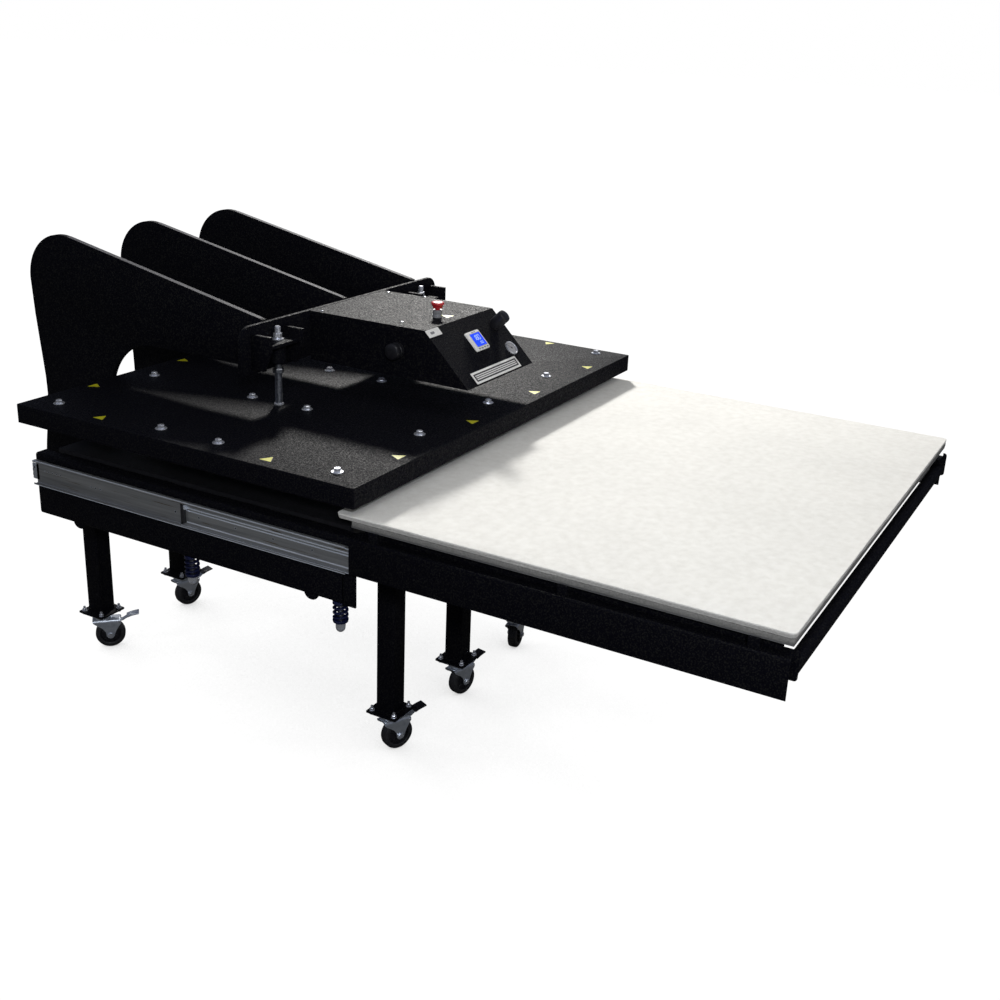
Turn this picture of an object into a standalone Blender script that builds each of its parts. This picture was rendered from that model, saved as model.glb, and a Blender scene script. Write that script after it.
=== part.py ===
"""Front-loading, air-operated heat press with a pull-out table, shown at rest with its table out.

Metres, +Z up, the operator stands at -Y. Every object hangs from the empty press_centre, which
stands on the floor under the middle of the heat platen, so the sizes below are measured from there.
"""

import math

import bmesh
import bpy
from mathutils import Matrix, Vector

# ---- driving dimensions -------------------------------------------------------------------
FIT_GAP = 0.0003            # left between pieces that touch
PLATEN_X, PLATEN_Y = 0.838, 0.602        # half sizes of the heat platen's cover
PLATEN_BOTTOM, PLATEN_TOP = 0.987, 1.043
HEATER_X, HEATER_Y = 0.8128, 0.5588      # 64 x 44 inch working area, half sizes
TOP_Z = 1.452               # highest point of the C frames
REAR_Y = 1.011              # rearmost point of the C frames
FRAME_X = (-0.396, 0.0, 0.396)
PLATE_THICKNESS = 0.019
LEG_Y = (-0.42, 0.807)
LEG_SIDE, LEG_WALL = 0.0635, 0.003
FOOT_SIDE, FOOT_BOTTOM, FOOT_TOP = 0.109, 0.1375, 0.1435
ARM_BOTTOM, ARM_TOP = 0.565, 0.745       # lower arm of a C frame
ARM_FRONT = -0.475

RAIL_X = 0.797              # outer face of side beams and rail carriers
BEAM_BOTTOM, BEAM_TOP = 0.690, 0.786
BEAM_FRONT, BEAM_REAR = -0.578, 0.588
CARRIER_TOP = 0.885
TIE_Y, TIE_Z, TIE_RADIUS = 0.43, 0.699, 0.022

BED_X, BED_Y, BED_TOP, BED_BOTTOM = 0.752, 0.54, 0.8955, 0.850

SLIDE_LENGTH = 1.143
SLIDE_FRONT = -0.556        # front end of the outer slide member
TABLE_TRAVEL = 1.133
PANEL_FRONT, PANEL_REAR = -1.731, -0.573
PANEL_X, PANEL_BOTTOM, PANEL_TOP = 0.820, 0.796, 0.897
PAD_X, PAD_FRONT, PAD_REAR, PAD_TOP = 0.816, -1.736, -0.530, 0.957
PAD_STEP_REAR = -0.577      # the layers under the felt stop short of it
CROSS_BAR_Y = (-1.645, -1.18, -0.645)
TUBE_Y, TUBE_Z, TUBE_RADIUS = -1.724, 0.8566, 0.019
TUBE_FRONT = TUBE_Y - 0.021              # the tube's end ears reach this far forward

SPRING_X, SPRING_Y = 0.772, (-0.512, 0.009)
SPRING_BOTTOM, SPRING_RADIUS = 0.6285, 0.0215

WHEEL_RADIUS, WHEEL_HALF_WIDTH = 0.0508, 0.016
CASTER_OFFSET = 0.024       # from the swivel axis to the axle
CASTER_HEADINGS = {         # degrees from +X towards +Y
    "front_left": -24, "front_center": -12, "front_right": 10,
    "rear_left": -45, "rear_center": -17, "rear_right": -35,
}
CROWN_BOTTOM, CROWN_TOP = 0.1065, 0.1105
PEDAL_PIN = (0.056, 0, 0.099)            # from the swivel axis

BOX_X, BOX_BOTTOM, BOX_TOP = 0.198, 1.139, 1.293
BOX_NOSE, BOX_SHOULDER, BOX_REAR = -0.545, -0.391, 0.0255
SHEET = 0.002
PANEL_SLOPE = math.radians(45)
E_STOP_AT = (-0.023, -0.325)
KNOB_AT = (0.14, 0.057)     # x and the distance down the sloping face
PALM_AT = (-0.299, 1.221)   # y and z of both palm buttons
HANGER_X = 0.385


# ---- materials -----------------------------------------------------------------------------
def principled(name, colour, roughness, metallic=0.0):
    made = bpy.data.materials.new(name)
    made.use_nodes = True
    shader = made.node_tree.nodes["Principled BSDF"]
    shader.inputs["Base Color"].default_value = (*colour, 1)
    shader.inputs["Roughness"].default_value = roughness
    shader.inputs["Metallic"].default_value = metallic
    return made


def make_materials():
    return {
        "powder": principled("black_powder_coat", (0.012, 0.012, 0.015), 0.55),
        "black": principled("black_plastic", (0.015, 0.015, 0.017), 0.4),
        "zinc": principled("zinc_plate", (0.62, 0.66, 0.72), 0.32, 1.0),
        "steel": principled("bright_steel", (0.75, 0.75, 0.75), 0.25, 1.0),
        "aluminium": principled("cast_aluminium", (0.70, 0.70, 0.69), 0.4, 1.0),
        "felt": principled("white_felt", (0.88, 0.87, 0.84), 0.95),
        "silicone": principled("grey_silicone", (0.33, 0.33, 0.32), 0.8),
        "rubber": principled("black_rubber", (0.02, 0.02, 0.02), 0.75),
        "spring": principled("navy_spring", (0.01, 0.015, 0.09), 0.4, 0.3),
        "red": principled("red_plastic", (0.62, 0.02, 0.03), 0.35),
        "white": principled("white_plastic", (0.82, 0.82, 0.80), 0.4),
    }


# ---- mesh helpers --------------------------------------------------------------------------
def placed(points, axis, depth):
    """2D points in the plane across the axis, as 3D points at this depth along it."""
    order = {"x": lambda a, b: (depth, a, b), "y": lambda a, b: (a, depth, b), "z": lambda a, b: (a, b, depth)}
    return [order[axis](a, b) for a, b in points]


def prism(outline, axis, low, high):
    """A closed outline swept along an axis. Across x it is (y, z), across y (x, z), across z (x, y)."""
    form = bmesh.new()
    rings = [[form.verts.new(p) for p in placed(outline, axis, depth)] for depth in (low, high)]
    for ring in rings:
        form.faces.new(ring)
    for i in range(len(outline)):
        j = (i + 1) % len(outline)
        form.faces.new((rings[0][i], rings[0][j], rings[1][j], rings[1][i]))
    bmesh.ops.recalc_face_normals(form, faces=form.faces)
    return form


def block(low, high):
    rectangle = [(low[0], low[1]), (high[0], low[1]), (high[0], high[1]), (low[0], high[1])]
    return prism(rectangle, "z", low[2], high[2])


def turned(profile, sides=16, axis="z", at=(0, 0, 0)):
    """A profile of (radius, height) turned about an axis through a point. It closes on the axis or as a ring."""
    form = bmesh.new()
    rings = []
    for radius, height in profile:
        if radius == 0:
            rings.append([form.verts.new((0, 0, height))] * sides)
            continue
        turns = (math.tau * k / sides for k in range(sides))
        rings.append([form.verts.new((radius * math.cos(t), radius * math.sin(t), height)) for t in turns])
    on_axis = profile[0][0] == 0
    pairs = list(zip(rings, rings[1:])) + ([] if on_axis else [(rings[-1], rings[0])])
    for lower, upper in pairs:
        for k in range(sides):
            n = (k + 1) % sides
            corners = dict.fromkeys((lower[k], lower[n], upper[n], upper[k]))
            form.faces.new(list(corners))
    turn = {"x": Matrix.Rotation(math.pi / 2, 3, "Y"), "y": Matrix.Rotation(-math.pi / 2, 3, "X"),
            "z": Matrix.Identity(3)}[axis]
    bmesh.ops.rotate(form, matrix=turn, verts=form.verts)
    bmesh.ops.translate(form, vec=at, verts=form.verts)
    bmesh.ops.recalc_face_normals(form, faces=form.faces)
    return form


def rod(radius, low, high, sides=16, axis="z", at=(0, 0, 0)):
    return turned([(0, low), (radius, low), (radius, high), (0, high)], sides, axis, at)


def arc(centre, radius, start, end, steps=6):
    """Points on a circle from one angle to another, in degrees."""
    angles = (math.radians(start + (end - start) * k / steps) for k in range(steps + 1))
    return [(centre[0] + radius * math.cos(a), centre[1] + radius * math.sin(a)) for a in angles]


def open_box(low, high, wall, floor):
    """A box open at the top, as one closed skin."""
    inner_low = (low[0] + wall, low[1] + wall, low[2] + floor)
    inner_high = (high[0] - wall, high[1] - wall)
    form = bmesh.new()

    def ring_at(a, b, z):
        return [form.verts.new((x, y, z)) for x, y in ((a[0], a[1]), (b[0], a[1]), (b[0], b[1]), (a[0], b[1]))]

    rings = [ring_at(low, high, low[2]), ring_at(low, high, high[2]),
             ring_at(inner_low, inner_high, high[2]), ring_at(inner_low, inner_high, inner_low[2])]
    form.faces.new(rings[0])
    form.faces.new(rings[-1])
    for a, b in zip(rings, rings[1:]):
        for i in range(4):
            j = (i + 1) % 4
            form.faces.new((a[i], a[j], b[j], b[i]))
    bmesh.ops.recalc_face_normals(form, faces=form.faces)
    return form


def mirrored(outline, side):
    return [(side * a, b) for a, b in outline]


# ---- objects -------------------------------------------------------------------------------
def new_object(name, form, finish, parent, at=(0, 0, 0)):
    mesh = bpy.data.meshes.new(name)
    form.to_mesh(mesh)
    form.free()
    mesh.shade_smooth()
    mesh.set_sharp_from_angle(angle=math.radians(35))
    if finish:
        mesh.materials.append(finish)
    made = bpy.data.objects.new(name, mesh)
    bpy.context.scene.collection.objects.link(made)
    made.parent = parent
    made.location = at
    return made


def combine(target, forms, operation):
    """Joins forms to an object, or cuts them from it, with one Boolean for each."""
    for number, form in enumerate(forms):
        helper = new_object(f"{target.name}.{operation.lower()}{number}", form, None, target.parent, target.location)
        helper.hide_render = True
        helper.display_type = "WIRE"
        modifier = target.modifiers.new(f"{operation.title()} {number}", "BOOLEAN")
        modifier.operation = operation
        modifier.object = helper
    return target


def join(target, *forms):
    return combine(target, forms, "UNION")


def cut(target, *forms):
    return combine(target, forms, "DIFFERENCE")


def empty(name, at=(0, 0, 0), heading=0.0, parent=None):
    made = bpy.data.objects.new(name, None)
    bpy.context.scene.collection.objects.link(made)
    made.parent = parent
    made.location = at
    made.rotation_euler.z = math.radians(heading)
    return made


# ---- fixed frame ---------------------------------------------------------------------------
def c_plate_outline():
    crown_radius = 0.155
    crown = (0.855, TOP_Z - crown_radius)
    throat, throat_radius = (0.484, 0.955), 0.193
    throat_wall = throat[0] + throat_radius
    tip_y = 0.039
    return [
        *arc((ARM_FRONT + 0.06, ARM_BOTTOM + 0.06), 0.06, 180, 270, 4),
        *arc((REAR_Y - 0.08, ARM_BOTTOM + 0.08), 0.08, 270, 360, 4),
        (REAR_Y, 0.660), (0.990, 0.800), (0.976, 0.909), (0.984, 1.020), (1.002, 1.180),
        *arc(crown, crown_radius, 0, 100.9, 10),
        (tip_y, 1.298), (tip_y, 1.152), (tip_y + 0.011, throat[1] + throat_radius),
        *arc(throat, throat_radius, 90, 0, 8),
        *arc((throat_wall - 0.04, ARM_TOP + 0.04), 0.04, 0, -90, 3),
        *arc((ARM_FRONT + 0.03, ARM_TOP - 0.03), 0.03, 90, 180, 3),
    ]


def make_c_frame(name, x, finish, parent):
    """A thick C plate with its two welded square legs and their foot plates."""
    half = PLATE_THICKNESS / 2
    plate = new_object(name, prism(c_plate_outline(), "x", -half, half), finish, parent, (x, 0, 0))
    for y in LEG_Y:
        side, foot = LEG_SIDE / 2, FOOT_SIDE / 2
        leg_bottom, leg_top, floor = FOOT_TOP - 0.002, ARM_BOTTOM + 0.012, 0.005
        leg = open_box((-side, y - side, leg_bottom), (side, y + side, leg_top), LEG_WALL, floor)
        join(plate, leg, block((-foot, y - foot, FOOT_BOTTOM), (foot, y + foot, FOOT_TOP)))
    for y in (-TIE_Y, TIE_Y):
        cut(plate, rod(TIE_RADIUS + 0.0008, -0.05, 0.05, 16, "x", (0, y, TIE_Z)))
    return plate


def make_base_frame(finish, parent):
    """Two channel side beams on two round tie bars that run through the C plates."""
    flange, web, flange_front = 0.050, 0.006, -0.540
    channel = [
        (RAIL_X, BEAM_BOTTOM), (RAIL_X, BEAM_TOP), (RAIL_X - flange, BEAM_TOP), (RAIL_X - flange, BEAM_TOP - web),
        (RAIL_X - web, BEAM_TOP - web), (RAIL_X - web, BEAM_BOTTOM + web), (RAIL_X - flange, BEAM_BOTTOM + web),
        (RAIL_X - flange, BEAM_BOTTOM),
    ]
    frame = new_object("base_frame", prism(mirrored(channel, -1), "y", BEAM_FRONT, BEAM_REAR), finish, parent)
    reach = RAIL_X - 0.001
    join(frame, *[rod(TIE_RADIUS, -reach, reach, 16, "x", (0, y, TIE_Z)) for y in (-TIE_Y, TIE_Y)])
    join(frame, prism(channel, "y", BEAM_FRONT, BEAM_REAR))
    inside = RAIL_X - web - 0.0002
    cut(frame, block((-inside, BEAM_FRONT - 0.01, BEAM_BOTTOM - 0.01), (inside, flange_front, BEAM_TOP + 0.01)))
    for side in (-1, 1):
        for y in SPRING_Y:
            cut(frame, rod(0.0095, BEAM_BOTTOM - 0.01, BEAM_TOP + 0.01, 10, "z", (side * SPRING_X, y, 0)))


def make_cross_beam(finish, parent):
    """The plate across the three arm tips, with two cheeks, a shelf and a bush at each hanger rod."""
    half, top, bottom, front, rear = 0.518, 1.294, 1.150, 0.026, 0.0387
    corner, root = 0.045, front + 0.002
    outline = [
        (-half, bottom), (half, bottom),
        *arc((half - corner, top - corner), corner, 0, 90),
        *arc((-half + corner, top - corner), corner, 90, 180),
    ]
    beam = new_object("cross_beam", prism(outline, "y", front, rear), finish, parent)
    apart, thick, reach = 0.0725, 0.0127, -0.045
    cheek = [(root, 1.165), (root, 1.270), (reach, 1.270), (reach, 1.225), (-0.020, 1.165)]
    for side, middle in ((-1, FRAME_X[0]), (1, FRAME_X[2])):
        shelf = block((middle - apart, reach + 0.001, 1.232), (middle + apart, root, 1.243))
        cheeks = [prism(cheek, "x", x - thick / 2, x + thick / 2) for x in (middle - apart, middle + apart)]
        at = (side * HANGER_X, 0, 0)
        join(beam, shelf, *cheeks, rod(0.024, 1.172, 1.234, 16, "z", at))
        cut(beam, rod(0.0114, 1.10, 1.30, 14, "z", at))


def make_hanger_rod(name, side, finish, parent):
    """A threaded rod that hangs the platen from the cross beam, with its foot, lock nut, washer and top nut."""
    profile = [
        (0, PLATEN_TOP + FIT_GAP), (0.0145, PLATEN_TOP + FIT_GAP), (0.0145, 1.049), (0.0108, 1.0495),
        (0.0108, 1.140), (0.0170, 1.1405), (0.0170, 1.156), (0.0108, 1.1565), (0.0108, 1.2433),
        (0.0185, 1.2434), (0.0185, 1.2465), (0.0130, 1.2470), (0.0130, 1.262), (0.0085, 1.2625), (0.0085, 1.283),
        (0, 1.283),
    ]
    new_object(name, turned(profile, 14), finish, parent, (side * HANGER_X, 0, 0))


def make_platen(mats, parent):
    """The sheet cover, open below, over the cast heater plate on its bosses."""
    wall = 0.0025
    outside = block((-PLATEN_X, -PLATEN_Y, PLATEN_BOTTOM), (PLATEN_X, PLATEN_Y, PLATEN_TOP))
    cover = new_object("platen_cover", outside, mats["powder"], parent)
    cut(cover, block((-PLATEN_X + wall, -PLATEN_Y + wall, PLATEN_BOTTOM - 0.01),
                     (PLATEN_X - wall, PLATEN_Y - wall, PLATEN_TOP - wall)))
    heater_top = 1.013
    plate = block((-HEATER_X, -HEATER_Y, PLATEN_BOTTOM), (HEATER_X, HEATER_Y, heater_top))
    heater = new_object("heater_plate", plate, mats["aluminium"], parent)
    bosses = [rod(0.018, heater_top - 0.002, PLATEN_TOP - wall - FIT_GAP, 10, "z", (x, y, 0))
              for x in (-0.765, 0, 0.765) for y in (-0.50, 0.50)]
    join(heater, *bosses)


def make_air_spring(name, x, finish, parent):
    """A double-convolution rubber bellows between a C frame's lower arm and the press bed."""
    low, high = ARM_TOP + FIT_GAP, BED_BOTTOM - FIT_GAP
    middle = (low + high) / 2
    quarter = (high - low) / 4
    waist = [(0.060, middle - 0.003), (0.060, middle + 0.003)]
    profile = [(0, low), (0.056, low), (0.073, low + quarter * 0.6), (0.073, low + quarter * 1.4), *waist,
               (0.073, high - quarter * 1.4), (0.073, high - quarter * 0.6), (0.056, high), (0, high)]
    new_object(name, turned(profile), finish, parent, (x, 0, 0))


# ---- lift ----------------------------------------------------------------------------------
def make_press_bed(finish, parent):
    """The ribbed bed that the air springs push up under the table."""
    skin, rib = 0.012, 0.012
    bed = new_object("press_bed", block((-BED_X, -BED_Y, BED_TOP - skin), (BED_X, BED_Y, BED_TOP)), finish, parent)
    join(bed, block((-BED_X, -0.08, BED_BOTTOM), (BED_X, 0.08, BED_TOP - skin / 2)))
    for y in (-BED_Y + rib, -0.27, 0.27, BED_Y - rib):
        join(bed, block((-BED_X, y - rib / 2, BED_BOTTOM), (BED_X, y + rib / 2, BED_TOP - skin / 2)))


def make_rail_carrier(name, side, finish, parent):
    bottom, web, inner = BEAM_TOP + FIT_GAP, 0.005, RAIL_X - 0.040
    channel = [
        (RAIL_X, bottom), (RAIL_X, CARRIER_TOP), (inner, CARRIER_TOP), (inner, CARRIER_TOP - web),
        (RAIL_X - web, CARRIER_TOP - web), (RAIL_X - web, bottom + web), (inner, bottom + web), (inner, bottom),
    ]
    carrier = new_object(name, prism(mirrored(channel, side), "y", BEAM_FRONT + 0.012, BEAM_REAR), finish, parent)
    for y in SPRING_Y:
        cut(carrier, rod(0.0095, bottom - 0.01, bottom + 0.02, 10, "z", (side * SPRING_X, y, 0)))


def make_spring_bolt(name, side, y, finish, parent):
    """The long bolt of a return spring, with its head, washer and acorn nut."""
    head, seat = BEAM_TOP + 0.0058, SPRING_BOTTOM - FIT_GAP
    nut, washer, shank, cap = 0.0145, 0.0205, 0.008, 0.012
    profile = [(0, seat - 0.0335), (0.011, seat - 0.027), (nut, seat - 0.018), (nut, seat - 0.003),
               (washer, seat - 0.003), (washer, seat), (shank, seat), (shank, head), (cap, head),
               (cap, head + 0.010), (0, head + 0.010)]
    new_object(name, turned(profile, 12), finish, parent, (side * SPRING_X, y, 0))


def make_return_spring(name, side, y, finish, parent):
    """A die spring as the sleeve that its coils fill, from the nut's washer up to the side beam."""
    low, high, bore = SPRING_BOTTOM, BEAM_BOTTOM - FIT_GAP, 0.011
    profile = [(bore, low), (SPRING_RADIUS, low), (SPRING_RADIUS, high), (bore, high)]
    new_object(name, turned(profile), finish, parent, (side * SPRING_X, y, 0))


# ---- slides --------------------------------------------------------------------------------
def make_slide_member(name, side, web, open_to, low, high, rear, finish, parent, gauge=0.002):
    """A C-section rail. Its web stands at one distance off the carrier and its lips reach to the other."""
    start, end = (web, web + gauge) if open_to > web else (web, web - gauge)
    section = [(start, low), (open_to, low), (open_to, low + gauge), (end, low + gauge),
               (end, high - gauge), (open_to, high - gauge), (open_to, high), (start, high)]
    section = [(side * (RAIL_X + t), z) for t, z in section]
    return new_object(name, prism(section, "y", rear - SLIDE_LENGTH, rear), finish, parent)


def make_slides(side, label, mats, parent):
    outer_rear = SLIDE_FRONT + SLIDE_LENGTH
    zinc = mats["zinc"]
    outer = make_slide_member(f"slide_outer_{label}", side, FIT_GAP, 0.0165, 0.789, 0.865, outer_rear, zinc, parent)
    tab = (side * (RAIL_X + FIT_GAP), side * (RAIL_X + 0.0023))
    join(outer, block((min(tab), outer_rear - 0.01, 0.801), (max(tab), outer_rear + 0.017, 0.851)))
    middle_rear = outer_rear - 0.014 - TABLE_TRAVEL / 2
    make_slide_member(f"slide_middle_{label}", side, 0.004, 0.0153, 0.7925, 0.8615, middle_rear, zinc, parent)
    inner = make_slide_member(f"slide_inner_{label}", side, 0.0196, 0.0078, 0.7968, 0.8572, PANEL_REAR, zinc, parent)
    cut(inner, block((-1, PANEL_FRONT - 0.01, 0.7), (1, TUBE_Y + TUBE_RADIUS + 0.002, 1.0)))


# ---- table ---------------------------------------------------------------------------------
def make_table_frame(finish, parent):
    """Two angle side panels joined by cross bars, with a long bar on each."""
    web, flange, bar = 0.003, 0.054, 0.028
    angle = [(PANEL_X, PANEL_BOTTOM), (PANEL_X, PANEL_TOP), (PANEL_X - flange, PANEL_TOP),
             (PANEL_X - flange, PANEL_TOP - web), (PANEL_X - web, PANEL_TOP - web), (PANEL_X - web, PANEL_BOTTOM)]
    frame = new_object("table_frame", prism(mirrored(angle, -1), "y", PANEL_FRONT, PANEL_REAR), finish, parent)
    inside = PANEL_X - 0.004
    for y in CROSS_BAR_Y:
        low, high = (-inside, y - bar / 2, PANEL_TOP - 0.001), (inside, y + bar / 2, PANEL_TOP + bar)
        join(frame, block(low, high))
    join(frame, prism(angle, "y", PANEL_FRONT, PANEL_REAR))
    strip_low, strip_high = PANEL_TOP - 0.0015, PANEL_TOP + bar - 0.0005
    for low_x, high_x in ((-0.786, -0.766), (0.766, 0.786)):
        join(frame, block((low_x, -1.700, strip_low), (high_x, -0.600, strip_high)))


def rounded_sheet(front, rear, half_x, radius):
    middle = (front + rear) / 2
    half_y = (rear - front) / 2
    corners = ((1, 1, 0), (-1, 1, 90), (-1, -1, 180), (1, -1, 270))
    return [point for sx, sy, start in corners
            for point in arc((sx * (half_x - radius), middle + sy * (half_y - radius)), radius, start, start + 90, 4)]


def make_table_top(mats, parent):
    plate_low, pad_low, felt_low = PANEL_TOP + 0.028 + FIT_GAP, 0.931, 0.9435
    inset = 0.004
    low, high = (-PAD_X + inset, PAD_FRONT + inset, plate_low), (PAD_X - inset, PAD_STEP_REAR, pad_low - FIT_GAP)
    new_object("table_plate", block(low, high), mats["aluminium"], parent)
    sponge = rounded_sheet(PAD_FRONT + 0.002, PAD_STEP_REAR, PAD_X, 0.006)
    felt = rounded_sheet(PAD_FRONT, PAD_REAR, PAD_X, 0.014)
    new_object("silicone_pad", prism(sponge, "z", pad_low, felt_low - FIT_GAP), mats["silicone"], parent)
    new_object("felt_pad", prism(felt, "z", felt_low, PAD_TOP), mats["felt"], parent)


def make_pull_tube(finish, parent):
    """The tube handle across the table's front, welded between two ears."""
    ear_x, ear = 0.799, 0.004
    flange_under, nose_top = PANEL_TOP - 0.0035, 0.912
    outline = [(-1.700, 0.838), (TUBE_FRONT + 0.007, 0.838), (TUBE_FRONT, 0.845), (TUBE_FRONT, 0.886),
               (TUBE_FRONT + 0.007, nose_top), (PANEL_FRONT - 0.0025, nose_top), (PANEL_FRONT - 0.0025, flange_under),
               (-1.700, flange_under)]
    reach, at = ear_x - 0.002, (0, TUBE_Y, TUBE_Z)
    tube = new_object("pull_tube", rod(TUBE_RADIUS, -reach, reach, 20, "x", at), finish, parent)
    join(tube, prism(outline, "x", -ear_x, -ear_x + ear), prism(outline, "x", ear_x - ear, ear_x))
    cut(tube, rod(TUBE_RADIUS - 0.003, -1, 1, 12, "x", at))


# ---- controls ------------------------------------------------------------------------------
def box_outline(inset, rear, bottom):
    """Side profile of the control box, moved in by the inset on its top and its sloping face."""
    slope_shift = inset * math.tan(PANEL_SLOPE / 2)
    nose = inset * math.sqrt(2) - (BOX_BOTTOM - bottom)
    top = BOX_TOP - inset
    return [(rear, bottom), (rear, top), (BOX_SHOULDER + slope_shift, top), (BOX_NOSE + nose, bottom)]


def make_control_box(mats, parent):
    shell = prism(box_outline(0, BOX_REAR, BOX_BOTTOM), "x", -BOX_X, BOX_X)
    cover = new_object("control_cover", shell, mats["powder"], parent)
    cut(cover, prism(box_outline(SHEET, BOX_REAR + 0.01, BOX_BOTTOM - 0.01), "x", -BOX_X + SHEET, BOX_X - SHEET))
    inside, front = BOX_X - SHEET - 0.0005, BOX_NOSE + 0.008
    floor = block((-inside, front, BOX_BOTTOM), (inside, BOX_REAR, BOX_BOTTOM + SHEET))
    tray = new_object("control_tray", floor, mats["zinc"], parent)
    low, high = (-inside, BOX_REAR - SHEET, BOX_BOTTOM + 0.001), (inside, BOX_REAR, BOX_TOP - SHEET - 0.001)
    join(tray, block(low, high))


def on_slope(x, down, out):
    """A point on the sloping front, at a distance down it and out from it."""
    c, s = math.cos(PANEL_SLOPE), math.sin(PANEL_SLOPE)
    return Vector((x, BOX_SHOULDER - down * c - out * s, BOX_TOP - down * s + out * c))


def lay_on_slope(made, x, down):
    made.location = on_slope(x, down, FIT_GAP)
    made.rotation_euler = (PANEL_SLOPE, 0, 0)


def make_panel_pieces(mats, parent):
    half_x, half_y, thick = 0.039, 0.034, 0.005
    bezel = prism(rounded_sheet(-half_y, half_y, half_x, 0.005), "z", 0, thick)
    lay_on_slope(new_object("temperature_controller", bezel, mats["white"], parent), 0.004, 0.085)
    rim, inner, dial = 0.0235, 0.0205, 0.0045
    gauge = [(0, 0), (rim, 0), (rim, 0.0055), (inner, 0.0065), (inner, dial), (0, dial)]
    lay_on_slope(new_object("pressure_gauge", turned(gauge, 20), mats["steel"], parent), 0.143, 0.147)
    grip, length = 0.021, 0.0575
    knob = [(0, 0), (grip, 0), (grip, length - 0.0055), (0.85 * grip, length), (0, length)]
    lay_on_slope(new_object("regulator_knob", turned(knob, 20), mats["black"], parent), *KNOB_AT)


def make_button(name, at, axis, sign, sizes, finish, parent):
    """A mushroom cap on a stem, pressed along the axis through its travel into a collar of this height."""
    collar, cap_radius, cap_height, travel = sizes
    under, stem_end = collar + travel + 0.0005, 0.0025 + travel
    profile = [(0, stem_end), (0.008, stem_end), (0.008, under), (0.7 * cap_radius, under),
               (cap_radius, under + 0.55 * cap_height), (cap_radius, under + 0.75 * cap_height),
               (0.8 * cap_radius, under + cap_height), (0, under + cap_height)]
    profile = [(radius, sign * height) for radius, height in profile]
    new_object(name, turned(profile, 16, axis), finish, parent, at)


def make_buttons(mats, parent):
    """The emergency stop stands over the box's top, and the palm buttons over its side walls."""
    at = (*E_STOP_AT, BOX_TOP)
    make_button("e_stop_button", at, "z", 1, (0.0235, 0.0205, 0.019, 0.005), mats["red"], parent)
    for label, side in (("left", -1), ("right", 1)):
        at = (side * BOX_X, *PALM_AT)
        make_button(f"palm_button_{label}", at, "x", side, (0.016, 0.0245, 0.018, 0.004), mats["black"], parent)


# ---- casters -------------------------------------------------------------------------------
def fork_outline():
    axle = (CASTER_OFFSET, WHEEL_RADIUS)
    return [(-0.030, CROWN_TOP), (-0.026, 0.095), *arc(axle, 0.013, 190, 350, 5), (0.062, 0.088), (0.062, 0.104),
            (0.047, CROWN_TOP)]


def make_fork(name, finish, parent):
    inside, outside = 0.0215, 0.0240
    crown = block((-0.030, -outside, CROWN_BOTTOM), (0.047, outside, CROWN_TOP))
    fork = new_object(name, crown, finish, parent)
    cheeks = [prism(fork_outline(), "y", side * inside, side * outside) for side in (-1, 1)]
    top = FOOT_BOTTOM - FIT_GAP
    raceway = turned([(0, 0.1095), (0.027, 0.1095), (0.031, 0.119), (0.033, 0.1275), (0.033, top), (0, top)], 14)
    at = (CASTER_OFFSET, 0, WHEEL_RADIUS)
    axle = rod(0.0055, -0.0300, 0.0300, 10, "y", at)
    nuts = [rod(0.0095, low, low + 0.0055, 6, "y", at) for low in (-0.0293, 0.0238)]
    join(fork, *cheeks, raceway, axle, *nuts, rod(0.0025, -0.0235, 0.0235, 6, "y", PEDAL_PIN))


def make_wheel(name, finish, parent):
    hub, shoulder = 0.0205, 0.004
    lower = [(0.0062, -hub), (0.015, -hub), (0.017, -0.013), (0.033, -WHEEL_HALF_WIDTH),
             (WHEEL_RADIUS - shoulder, -WHEEL_HALF_WIDTH), (WHEEL_RADIUS, -WHEEL_HALF_WIDTH + shoulder)]
    upper = [(radius, -height) for radius, height in reversed(lower)]
    new_object(name, turned(lower + upper, 20, "y"), finish, parent, (CASTER_OFFSET, 0, WHEEL_RADIUS))


def make_pedal(name, finish, parent):
    """A brake lever: a barrel on its pin, an arm and a wide tread."""
    barrel = 0.0055
    outline = [*arc((0, 0), barrel, 90, 270, 5), (0.012, -barrel), (0.040, 0.014), (0.066, 0.020),
               (0.070, 0.0235), (0.066, 0.026), (0.038, 0.0205), (0.014, 0.002), (0.006, 0.0045)]
    pedal = new_object(name, prism(outline, "y", -0.0175, 0.0175), finish, parent, PEDAL_PIN)
    cut(pedal, rod(0.0031, -0.03, 0.03, 8, "y"))


def make_casters(mats, centre):
    rows = (("front", LEG_Y[0]), ("rear", LEG_Y[1]))
    columns = zip(("left", "center", "right"), FRAME_X)
    for column, x in columns:
        for row, y in rows:
            place = f"{row}_{column}"
            swivel = empty(f"swivel_{place}", (x, y, 0), CASTER_HEADINGS[place], centre)
            make_fork(f"caster_fork_{place}", mats["zinc"], swivel)
            make_wheel(f"caster_wheel_{place}", mats["rubber"], swivel)
            make_pedal(f"brake_pedal_{place}", mats["black"], swivel)


# ---- assembly ------------------------------------------------------------------------------
def clear_scene():
    for old in list(bpy.data.objects):
        bpy.data.objects.remove(old, do_unlink=True)


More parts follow.
